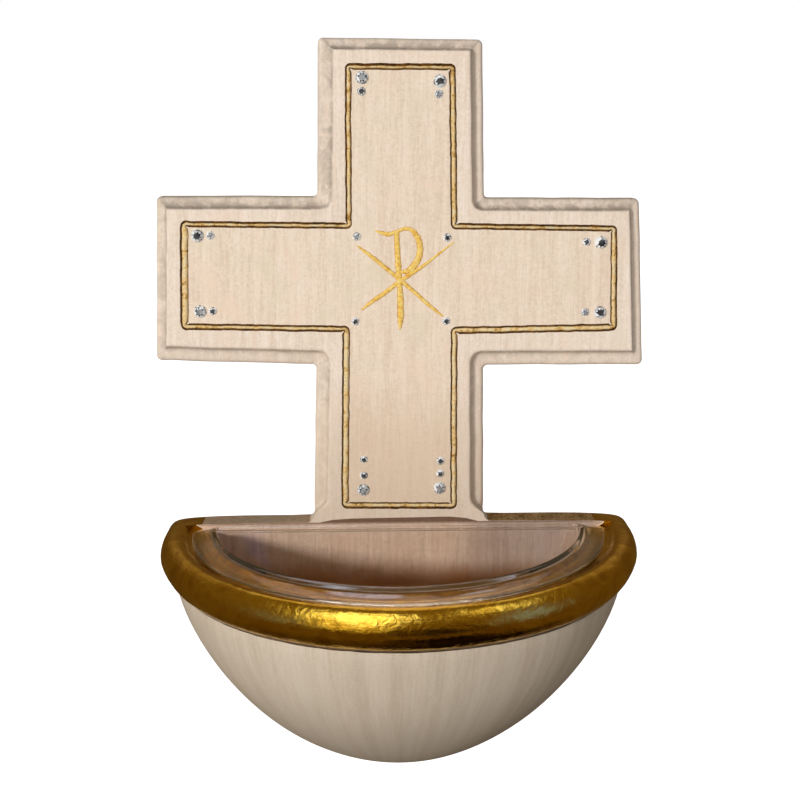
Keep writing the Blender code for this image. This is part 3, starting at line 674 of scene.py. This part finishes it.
# recesses in the back for the hanger plate and the screws
def capsule(width, length, middle, steps=14):
    r = width / 2
    up, down = middle + length / 2 - r, middle - length / 2 + r
    top = [(r * math.cos(math.pi * k / steps), up + r * math.sin(math.pi * k / steps)) for k in range(steps + 1)]
    low = [(r * math.cos(math.pi + math.pi * k / steps), down + r * math.sin(math.pi + math.pi * k / steps)) for k in range(steps + 1)]
    return top + low


def prism(bm, outline, y_back, y_front):
    skin(bm, [[(x, y_back, z) for x, z in outline], [(x, y_front, z) for x, z in outline]],
         slot_of=lambda k, i: 4, cap_first=4, cap_last=4)


def circle(x, z, r, steps=28):
    return [(x + r * math.cos(2 * math.pi * k / steps), z + r * math.sin(2 * math.pi * k / steps)) for k in range(steps)]


HANGER_Z, ENTRY_Z = 97.0, 93.0
for name, outline, y0, y1 in (
    ("recess_cutter", capsule(13.6, 30.6, HANGER_Z), 1.0, -1.7),
    ("pocket_cutter", capsule(9.2, 16.7, ENTRY_Z + 3.75), -0.9, -5.2),
):
    bm = bmesh.new()
    prism(bm, outline, y0, y1)
    carve(board, finished(name, bm, board_slots))
for x, z in ((-33.0, -37.0), (33.0, -37.0), (0.0, -50.0)):
    bm = bmesh.new()
    skin(bm, [[(px, 1.0, pz) for px, pz in circle(x, z, 4.6)], [(px, -2.6, pz) for px, pz in circle(x, z, 1.75)],
              [(px, -9.0, pz) for px, pz in circle(x, z, 1.75)]], slot_of=lambda k, i: 4, cap_first=4, cap_last=4)
    carve(board, finished("screw_hole_cutter", bm, board_slots))
board.data.shade_smooth()
board.data.set_sharp_from_angle(angle=math.radians(40.0))
for polygon in board.data.polygons:
    if abs(polygon.normal.y) > 0.9999 and (polygon.center.y < (FACE + 0.001) * MM or polygon.center.y > -0.001 * MM):
        polygon.use_smooth = False
    if polygon.center.y < (FACE + 0.001) * MM and polygon.area < 5e-3 and polygon.area > 4e-3 * 0.9:
        polygon.material_index = 7
for point, vert in zip(board.data.attributes["glaze_and_shade"].data, board.data.vertices):
    if vert.co.y < (FACE + 0.01) * MM:
        point.value = 0.0
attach(board, "font")
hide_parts("back_board")

# ------------------------------------------------------------------ gold sign in the middle
STROKES = [
    # points along the stroke, and its width at each
    ([(-6.1, 73.75), (-4.9, 73.35), (-3.3, 72.95), (-2.0, 73.15), (-0.9, 73.55)], [0.35, 0.8, 1.15, 1.1, 1.0]),
    ([(-0.95, 73.7), (-0.75, 69.5), (-0.45, 64.5), (-0.1, 60.0), (0.15, 55.5), (0.1, 52.0), (-0.02, 49.45)], [1.3, 1.45, 1.5, 1.5, 1.75, 1.55, 0.35]),
    ([(-1.0, 73.4), (0.2, 74.05), (1.4, 74.3), (2.6, 74.0), (3.5, 73.2), (4.3, 71.9), (4.75, 70.2), (4.75, 68.4), (4.3, 66.9), (3.4, 65.3), (2.2, 64.2), (1.0, 63.75), (0.0, 63.9)],
     [0.75, 0.95, 1.0, 1.15, 1.35, 1.55, 1.65, 1.65, 1.7, 1.75, 1.5, 1.2, 0.9]),
    ([(-10.6, 70.15), (-7.5, 67.9), (-4.0, 65.1), (0.1, 61.75), (4.2, 58.2), (7.6, 55.2), (10.7, 52.75)], [0.35, 0.95, 1.05, 1.2, 1.0, 0.95, 0.4]),
    ([(13.05, 71.1), (9.5, 68.3), (5.4, 65.1), (0.3, 61.7), (-3.6, 58.7), (-6.8, 56.5), (-9.4, 54.4)], [0.35, 0.6, 0.85, 1.25, 1.15, 1.05, 0.55]),
]


def spline(points, count):
    """Smooth points through the given ones, evenly by index."""
    found = []
    last = len(points) - 1
    for k in range(count + 1):
        t = k / count * last
        i = min(int(t), last - 1)
        f = t - i
        p0, p1, p2, p3 = (points[max(0, min(last, i + d))] for d in (-1, 0, 1, 2))
        found.append(tuple(
            0.5 * (2 * b + (c - a) * f + (2 * a - 5 * b + 4 * c - d) * f**2 + (3 * b - a - 3 * c + d) * f**3)
            for a, b, c, d in zip(p0, p1, p2, p3)
        ))
    return found


bm = bmesh.new()
for number, (points, widths) in enumerate(STROKES):
    count = 10 * (len(points) - 1)
    run = spline(points, count)
    wide = [w[0] for w in spline([(w,) for w in widths], count)]
    rings = []
    for k, (x, z) in enumerate(run):
        a, b = run[max(0, k - 1)], run[min(count, k + 1)]
        way = Vector((b[0] - a[0], b[1] - a[1])).normalized()
        side = Vector((-way.y, way.x))
        spot = Vector((x * 1.3, number * 5.0, z * 1.3))
        left = 0.5 * wide[k] * (1 + 0.22 * noise.noise(spot) + 0.16 * noise.noise(spot * 2.7))
        right = 0.5 * wide[k] * (1 + 0.22 * noise.noise(spot + Vector((7, 0, 0))) + 0.16 * noise.noise(spot * 2.7 + Vector((3, 0, 1))))
        high = (0.24 + 0.08 * noise.noise(spot * 1.7)) * min(1.0, wide[k] / 0.9)
        section = [(-left, -0.03), (-0.80 * left, 0.55 * high), (-0.35 * left, high), (0.3 * right, high * 0.92), (0.78 * right, 0.5 * high), (right, -0.03), (0.0, -0.10)]
        rings.append([(x + side.x * s, FACE - h, z + side.y * s) for s, h in section])
    # the strokes' outer walls take the painted shade
    skin(bm, rings, slot_of=lambda k, i: 1 if i in (0, 4) else 0, cap_first=0, cap_last=0)
sign = finished("gold_sign", bm, [sign_gold, sign_edge_shade], sharp=60.0)
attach(sign, "font")


# ------------------------------------------------------------------ bowl and rim
def half_turn(name, profile, mats, steps, on_axis, sharp=35.0, shape=None, slot_of=None):
    """Half a turned piece in front of the board's face. profile is (radius, height)
    points; on_axis says that it starts and ends on the turning axis."""
    bm = bmesh.new()
    turns = []
    ends = {}
    for k in range(steps + 1):
        a = math.pi * k / steps
        row = []
        for j, (r, z) in enumerate(profile):
            if on_axis and j in (0, len(profile) - 1):
                if j not in ends:
                    ends[j] = bm.verts.new((0.0, FACE, z))
                row.append(ends[j])
                continue
            if shape:
                r, z = shape(j, r, z, a)
            x = r * math.cos(a)
            row.append(bm.verts.new((x, FACE - r * math.sin(a), z + LEAN * x)))
        turns.append(row)
    count = len(profile)
    for one, two in zip(turns, turns[1:]):
        for j in range(count if not on_axis else count - 1):
            corners = [one[j], one[(j + 1) % count], two[(j + 1) % count], two[j]]
            corners = list(dict.fromkeys(corners))
            if len(corners) > 2:
                face = bm.faces.new(corners)
                if slot_of:
                    face.material_index = slot_of(j)
    if on_axis:
        bm.faces.new(turns[0] + list(reversed(turns[-1][1:-1])))
    else:
        bm.faces.new(turns[0])
        bm.faces.new(turns[-1])
    return finished(name, bm, mats, sharp=sharp)


outside = []
for k in range(73):
    u = 1.0 - (1.0 - k / 72) ** 2
    z = -RIM_H - BODY_H * u
    outside.append((body_radius(z), z))
outside[0] = (outside[0][0] - 0.2, -RIM_H + 0.02)


def turned_by_hand(j, r, z, a):
    """The bowl is finished by hand: a slow unevenness of a tenth of a millimetre."""
    n = noise.noise(Vector((math.cos(a) * 2.1, math.sin(a) * 2.1, z * 0.06)))
    return r + 0.14 * n * smoothstep(0.0, 12.0, r), z


bowl = half_turn(
    "bowl", CAVITY + outside, [shaded_bowl_wood, inside_gold], 150, True, shape=turned_by_hand,
    slot_of=lambda j: 1 if j < len(CAVITY) else 0,
)
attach(bowl, "font")
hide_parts("bowl_shell")

INSERT_R, INSERT_C, INSERT_BACK, INSERT_CORNER = 51.5, 1.5, 1.2, 3.2
FLANGE_TOP, FLANGE_LOW, FLOOR = 1.0, -1.4, -26.5

# the seat for the insert's flange rises inwards
SEAT = range(2, 13)
rim_section = [
    (BORE_R, -RIM_H), (BORE_R, -6.4), (47.7, -4.6), (47.0, -3.0), (46.8, -1.9), (46.8, -0.54), (46.9, -0.44),
    (47.2, -0.68), (47.6, -1.06), (48.0, -1.42), (48.25, -1.56), (48.7, -1.68), (50.5, LAND_Z),
    (52.25, LAND_Z), (52.9, LAND_Z + 0.06), (53.4, LAND_Z + 0.26), (53.9, LAND_Z + 0.58), (54.3, LAND_Z + 0.82),
]
LAND_POINTS = len(rim_section)
rim_section += RIM_SIDE[::-1]


def gilded_by_hand(j, r, z, a):
    """The ground under the leaf is brushed on, so the rim swells a little here and there.
    At both ends it spreads to meet the board."""
    end = 1.0 - smoothstep(0.0, math.radians(24.0), min(a, math.pi - a))
    if j in SEAT:
        part = smoothstep(math.radians(5.5), math.radians(11.0), min(a, math.pi - a))
        return r + INSERT_C * math.sin(a) - 0.3 * math.cos(a), z if z < LAND_Z else LAND_Z + (z - LAND_Z) * part
    if j >= LAND_POINTS:
        r, z = flared(len(rim_section) - 1 - j, end)
    else:
        z += 0.30 * end * smoothstep(50.0, 54.4, r)
    spot = Vector((math.cos(a) * r * 0.10, math.sin(a) * r * 0.10, z * 0.22))
    n = (0.12 * noise.noise(spot) + 0.04 * noise.noise(spot * 3.3)) * (1.0 - end)
    outer = smoothstep(53.0, 57.0, r)
    low = smoothstep(-9.2, -10.3, z) * outer
    return r + n * outer, z + 0.10 * low * noise.noise(spot * 4.0 + Vector((0, 5, 0)))


# the lowest bands of the rim's outside take the painted shade of the crease against the bowl
rim = half_turn(
    "rim", rim_section, [rim_gold, rim_crease_shade, seat_gold], 220, False, sharp=50.0, shape=gilded_by_hand,
    slot_of=lambda j: 1 if j in (len(rim_section) - 4, len(rim_section) - 3, len(rim_section) - 2) else 2 if 4 <= j < 10 else 0,
)
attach(rim, "font")
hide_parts("gilded_rim")

# ------------------------------------------------------------------ clear insert
def tray_ring(arc_in, back_in, z, arc_steps=110, corner_steps=14, straight=10):
    radius = INSERT_R - arc_in
    back = INSERT_BACK + back_in - INSERT_C
    r = max(INSERT_CORNER - 0.25 * arc_in, 1.5)
    cy = back + r
    cx = math.sqrt((radius - r) ** 2 - cy**2)
    meet = math.atan2(cy, cx)
    points = []
    for k in range(arc_steps + 1):
        a = meet + (math.pi - 2 * meet) * k / arc_steps
        points.append((radius * math.cos(a), radius * math.sin(a)))
    for k in range(1, corner_steps + 1):
        a = math.pi - meet + (math.pi / 2 + meet) * k / corner_steps
        points.append((-cx + r * math.cos(a), cy + r * math.sin(a)))
    for k in range(1, straight):
        points.append((-cx + 2 * cx * k / straight, back))
    for k in range(corner_steps):
        a = 1.5 * math.pi + (math.pi / 2 + meet) * k / corner_steps
        points.append((cx + r * math.cos(a), cy + r * math.sin(a)))
    return [(x - 0.3, FACE - INSERT_C - forward, z + LEAN * x) for x, forward in points]


TRAY = [
    (17.6, 9.6, FLOOR - 0.90), (16.4, 8.9, FLOOR - 0.84), (15.0, 8.1, FLOOR - 0.55), (13.75, 7.3, FLOOR + 0.35), (12.75, 6.7, FLOOR + 1.9),
    (11.1, 5.95, -19.5), (9.1, 5.3, -13.1), (7.1, 4.7, -6.6), (5.55, 4.2, -1.95), (5.42, 4.15, FLANGE_LOW + 0.30), (5.30, 4.08, FLANGE_LOW + 0.95), (5.10, 3.95, FLANGE_LOW + 1.32), (4.75, 3.68, FLANGE_LOW + 1.30),
    (4.3, 3.3, FLANGE_LOW + 0.88), (3.9, 3.0, FLANGE_LOW + 0.50), (3.5, 2.7, FLANGE_LOW + 0.14), (3.25, 2.5, FLANGE_LOW),
    (1.6, 1.3, FLANGE_LOW), (0.4, 0.4, FLANGE_LOW), (0.12, 0.12, FLANGE_LOW + 0.04), (0.0, 0.0, FLANGE_LOW + 0.17),
    (0.06, 0.06, FLANGE_LOW + 0.38), (0.28, 0.26, FLANGE_LOW + 0.50), (0.75, 0.65, FLANGE_LOW + 0.60), (1.3, 1.05, FLANGE_LOW + 0.72), (1.9, 1.5, FLANGE_LOW + 0.88),
    (2.5, 1.95, FLANGE_LOW + 1.08), (3.1, 2.4, FLANGE_LOW + 1.32), (3.7, 2.85, FLANGE_LOW + 1.59), (4.3, 3.3, FLANGE_LOW + 1.88), (4.85, 3.75, FLANGE_LOW + 2.16),
    (5.2, 4.05, FLANGE_TOP - 0.10), (5.45, 4.3, FLANGE_TOP - 0.01), (5.65, 4.5, FLANGE_TOP), (5.85, 4.7, FLANGE_TOP - 0.10), (6.0, 4.85, FLANGE_TOP - 0.35), (6.15, 5.0, FLANGE_TOP - 0.9),
    (8.0, 5.55, -6.5), (10.0, 6.2, -13.0), (12.0, 6.8, -19.4), (13.6, 7.5, FLOOR + 2.3), (14.4, 8.1, FLOOR + 1.1), (15.5, 8.8, FLOOR + 0.35), (16.8, 9.5, FLOOR + 0.06), (18.0, 10.2, FLOOR),
]
bm = bmesh.new()
skin(bm, [tray_ring(*step) for step in TRAY], cap_first=0, cap_last=0)
insert = finished("insert_tray", bm, [clear], sharp=60.0)
insert.visible_shadow = False
insert.visible_diffuse = False
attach(insert, "insert")
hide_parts("water_insert")


# ------------------------------------------------------------------ crystals
def cut_stone(name, node, number):
    """A flat-backed stone with a table, star facets, crown facets and a girdle."""
    low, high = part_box(node)
    x, z = (low.x + high.x) / 2 / MM, (low.z + high.z) / 2 / MM
    back, front = high.y / MM, low.y / MM
    r = (high.x - low.x) / 2 / MM
    deep = back - front
    turn = 0.7 * number
    bm = bmesh.new()

    def ring(radius, y, count, offset):
        return [
            bm.verts.new((x + radius * math.cos(turn + 2 * math.pi * (k + offset) / count), y,
                          z + radius * math.sin(turn + 2 * math.pi * (k + offset) / count)))
            for k in range(count)
        ]

    base = ring(r * 0.97, back, 16, 0.0)
    girdle = ring(r, back - deep * 0.26, 16, 0.0)
    crown = ring(r * 0.80, back - deep * 0.66, 8, 0.5)
    table = ring(r * 0.50, front, 8, 0.0)
    bm.faces.new(base).material_index = 1
    bm.faces.new(table).material_index = 2 if number % 3 else 1
    for k in range(16):
        bm.faces.new((base[k], base[(k + 1) % 16], girdle[(k + 1) % 16], girdle[k])).material_index = 1
    for k in range(8):
        n = (k + 1) % 8
        # light and dark facets: painted reflections, some facets painted bright and some dark
        a, b, c = (noise.noise(Vector((k * 1.7 + s, number * 3.3, s * 2.0))) for s in (0.3, 5.1, 9.7))
        side = math.sin(turn + 2 * math.pi * (k + 1) / 8 + 0.9)
        one = 1 if a < -0.12 else 0
        two = 2 if b - 0.15 * side < -0.22 else 1 if b < -0.05 else 0
        three = 2 if c < -0.02 else 1 if c < 0.10 else 0
        bm.faces.new((girdle[2 * k], girdle[2 * k + 1], crown[k])).material_index = one
        bm.faces.new((girdle[2 * k + 1], girdle[(2 * k + 2) % 16], crown[k])).material_index = two
        bm.faces.new((crown[k], girdle[(2 * k + 2) % 16], crown[n])).material_index = one
        bm.faces.new((table[k], table[n], crown[k])).material_index = three
        bm.faces.new((table[n], crown[k], crown[n])).material_index = 0 if three else two
    obj = finished(name, bm, facet_reflection_mats, flat=True)
    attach(obj, "font")
    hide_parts(node)


for number, node in enumerate(sorted(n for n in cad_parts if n.startswith("stone_"))):
    cut_stone("crystal_" + node[6:], node, number)

# ------------------------------------------------------------------ carried-over metal parts
for node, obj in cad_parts.items():
    mat = brass if node.startswith("hanger") else zinc if node.startswith("bowl_screw") else None
    if mat:
        obj.data.materials.clear()
        obj.data.materials.append(mat)

# ------------------------------------------------------------------ stage, light, camera
def stage_plane(name, half_x, half_y, z, mat):
    bm = bmesh.new()
    corners = [bm.verts.new((a * half_x, b * half_y, z)) for a, b in ((-1, -1), (1, -1), (1, 1), (-1, 1))]
    bm.faces.new(corners)
    bmesh.ops.subdivide_edges(bm, edges=bm.edges, cuts=3, use_grid_fill=True)
    obj = finished(name, bm, [mat], flat=True)
    return obj


floor_look = Look("pale_floor", Roughness=0.9)
floor_look.set("Base Color", floor_look.colours(floor_look.noise((3, 3, 3)), (0.0, (0.93, 0.93, 0.93)), (1.0, (0.96, 0.96, 0.96))))
floor_look.shader.inputs["Emission Color"].default_value = (1.0, 1.0, 1.0, 1.0)
floor_look.shader.inputs["Emission Strength"].default_value = 1.0
floor = stage_plane("floor", 6000.0, 6000.0, -95.0, floor_look.mat)
floor.visible_glossy = False
floor.visible_diffuse = False
floor.visible_transmission = False

world = bpy.data.worlds.new("studio")
bpy.context.scene.world = world
world.use_nodes = True
nodes, links = world.node_tree.nodes, world.node_tree.links
nodes.clear()


class Sky:
    """Colours for the directions round the part."""

    def __init__(self):
        self.way = nodes.new("ShaderNodeTexCoord").outputs["Generated"]

    def toward(self, direction, outer, inner):
        """1 within the inner angle of a direction, 0 outside the outer one."""
        dot = nodes.new("ShaderNodeVectorMath")
        dot.operation = "DOT_PRODUCT"
        dot.inputs[1].default_value = Vector(direction).normalized()
        links.new(self.way, dot.inputs[0])
        ramp = nodes.new("ShaderNodeMapRange")
        ramp.interpolation_type = "SMOOTHSTEP"
        ramp.inputs["From Min"].default_value = math.cos(math.radians(outer))
        ramp.inputs["From Max"].default_value = math.cos(math.radians(inner))
        links.new(dot.outputs["Value"], ramp.inputs["Value"])
        return ramp.outputs["Result"]

    def heights(self, *stops):
        """A colour for the height above the horizon, from -1 to 1."""
        split = nodes.new("ShaderNodeSeparateXYZ")
        links.new(self.way, split.inputs[0])
        scale = nodes.new("ShaderNodeMapRange")
        scale.inputs["From Min"].default_value = -1.0
        scale.inputs["From Max"].default_value = 1.0
        links.new(split.outputs["Z"], scale.inputs["Value"])
        ramp = nodes.new("ShaderNodeValToRGB")
        while len(ramp.color_ramp.elements) < len(stops):
            ramp.color_ramp.elements.new(0.5)
        for element, (place, colour) in zip(ramp.color_ramp.elements, stops):
            element.position = (place + 1) / 2
            element.color = (*colour, 1.0)
        links.new(scale.outputs["Result"], ramp.inputs["Fac"])
        return ramp.outputs["Color"]

    def patch(self, under, share, colour):
        mix = nodes.new("ShaderNodeMix")
        mix.data_type = "RGBA"
        for socket in mix.inputs:
            if socket.identifier == "Factor_Float":
                links.new(share, socket)
            elif socket.identifier == "A_Color":
                links.new(under, socket)
            elif socket.identifier == "B_Color":
                socket.default_value = (*colour, 1.0)
        return next(s for s in mix.outputs if s.identifier == "Result_Color")

    def light(self, colour, strength=1.0):
        background = nodes.new("ShaderNodeBackground")
        background.inputs["Strength"].default_value = strength
        if isinstance(colour, tuple):
            background.inputs["Color"].default_value = (*colour, 1.0)
        else:
            links.new(colour, background.inputs["Color"])
        return background.outputs[0]


sky = Sky()
# what lights the part: soft, mostly from the front and below, little from above
soft = sky.heights((-1.0, (0.03, 0.027, 0.023)), (-0.15, (0.14, 0.130, 0.118)), (0.3, (0.10, 0.092, 0.083)), (1.0, (0.055, 0.048, 0.040)))
soft = sky.patch(soft, sky.toward((0.0, 1.0, 0.0), 66.0, 20.0), (0.50, 0.47, 0.44))
soft = sky.patch(soft, sky.toward((-1.0, -0.20, 0.05), 46.0, 8.0), (0.48, 0.455, 0.43))
soft = sky.patch(soft, sky.toward((1.0, -0.20, 0.05), 46.0, 8.0), (0.40, 0.375, 0.35))
soft = sky.patch(soft, sky.toward((0.03, -1.0, -0.03), 57.0, 12.0), (0.82, 0.790, 0.760))
fill = sky.light(soft)
# what the gold and the clear plastic mirror: a brown room, a pale ceiling, two windows and the wall
room = sky.heights(
    (-1.0, (0.045, 0.026, 0.007)), (-0.6, (0.105, 0.062, 0.013)), (0.0, (0.105, 0.060, 0.012)), (0.5, (0.13, 0.082, 0.022)), (1.0, (0.18, 0.13, 0.055)),
)
room = sky.patch(room, sky.toward((0.28, -0.93, 0.12), 24.0, 11.0), (0.012, 0.005, 0.003))
room = sky.patch(room, sky.toward((0.30, -0.62, -0.72), 27.0, 13.0), (0.005, 0.002, 0.004))
room = sky.patch(room, sky.toward((0.30, 0.04, -0.95), 28.0, 13.0), (0.005, 0.002, 0.004))
room = sky.patch(room, sky.toward((-0.34, -0.74, 0.57), 19.0, 5.0), (1.0, 0.90, 0.62))
room = sky.patch(room, sky.toward((-0.26, -0.42, 0.87), 18.0, 13.0), (2.3, 2.45, 2.9))
room = sky.patch(room, sky.toward((0.47, -0.12, 0.87), 9.5, 5.0), (1.7, 1.75, 1.8))
room = sky.patch(room, sky.toward((-0.78, -0.46, 0.42), 17.0, 6.0), (0.15, 0.17, 0.45))
room = sky.patch(room, sky.toward((0.82, -0.38, 0.40), 18.0, 7.0), (0.19, 0.27, 0.95))
room = sky.patch(room, sky.toward((0.0, 1.0, 0.16), 27.0, 13.0), (0.12, 0.075, 0.025))
room = sky.patch(room, sky.toward((-0.50, 0.72, 0.48), 20.0, 8.0), (0.28, 0.21, 0.13))
room = sky.patch(room, sky.toward((0.50, 0.72, 0.48), 20.0, 8.0), (0.28, 0.21, 0.13))
mirrored = sky.light(room)
white = sky.light((1.0, 1.0, 1.0))
path = nodes.new("ShaderNodeLightPath")
for_gloss = nodes.new("ShaderNodeMixShader")
either = nodes.new("ShaderNodeMath")
either.operation = "MAXIMUM"
links.new(path.outputs["Is Glossy Ray"], either.inputs[0])
links.new(path.outputs["Is Transmission Ray"], either.inputs[1])
links.new(either.outputs[0], for_gloss.inputs[0])
# the backdrop is white, also when it is seen through the clear plastic
through = nodes.new("ShaderNodeMath")
through.operation = "MULTIPLY"
links.new(path.outputs["Is Transmission Ray"], through.inputs[0])
links.new(sky.toward((0.0, 0.0, -1.0), 92.0, 84.0), through.inputs[1])
seen = nodes.new("ShaderNodeMath")
seen.operation = "MAXIMUM"
links.new(path.outputs["Is Camera Ray"], seen.inputs[0])
links.new(through.outputs[0], seen.inputs[1])
links.new(fill, for_gloss.inputs[1])
links.new(mirrored, for_gloss.inputs[2])
for_camera = nodes.new("ShaderNodeMixShader")
links.new(seen.outputs[0], for_camera.inputs[0])
links.new(for_gloss.outputs[0], for_camera.inputs[1])
links.new(white, for_camera.inputs[2])
out = nodes.new("ShaderNodeOutputWorld")
links.new(for_camera.outputs[0], out.inputs["Surface"])


def soft_light(name, azimuth, elevation, distance, size_x, size_y, power, colour, aim=(0.0, -0.02, 0.03)):
    """An area light: azimuth 0 is straight in front, negative to the left."""
    data = bpy.data.lights.new(name, "AREA")
    data.shape = "RECTANGLE"
    data.size, data.size_y = size_x, size_y
    data.energy = power
    data.color = colour
    obj = bpy.data.objects.new(name, data)
    bpy.context.scene.collection.objects.link(obj)
    a, e = math.radians(azimuth), math.radians(elevation)
    way = Vector((math.sin(a) * math.cos(e), -math.cos(a) * math.cos(e), math.sin(e)))
    obj.location = Vector(aim) + way * distance
    obj.rotation_euler = (-way).to_track_quat("-Z", "Y").to_euler()
    return obj


key = soft_light("key", -38.0, 12.0, 2.4, 0.45, 0.30, 37.5, (1.0, 0.985, 0.955))
key.visible_glossy = False
bounce = soft_light("bounce", -4.0, -28.0, 1.6, 1.4, 0.9, 1.2, (1.0, 0.97, 0.93))
bounce.visible_glossy = False

camera_data = bpy.data.cameras.new("camera")
camera_data.sensor_width = 36.0
camera_data.lens = 1203.2 * 36.0 / 800.0
camera_data.shift_y = -0.035
camera_data.clip_start, camera_data.clip_end = 0.01, 50.0
camera = bpy.data.objects.new("camera", camera_data)
bpy.context.scene.collection.objects.link(camera)
bpy.context.scene.camera = camera
pitch, yaw, roll = math.radians(-11.234), math.radians(1.078), math.radians(0.273)
right = Vector((math.cos(yaw), -math.sin(yaw), 0.0))
ahead = Vector((math.sin(yaw), math.cos(yaw), 0.0))
forward = ahead * math.cos(pitch) + Vector((0, 0, math.sin(pitch)))
upward = -ahead * math.sin(pitch) + Vector((0, 0, math.cos(pitch)))
side = right * math.cos(roll) + upward * math.sin(roll)
over = upward * math.cos(roll) - right * math.sin(roll)
turned = Matrix((side, over, -forward)).transposed().to_4x4()
camera.matrix_world = Matrix.Translation(Vector((-5.46, -300.0, 97.05)) * MM) @ turned

bpy.context.scene.view_settings.view_transform = "Standard"
bpy.context.scene.view_settings.look = "None"
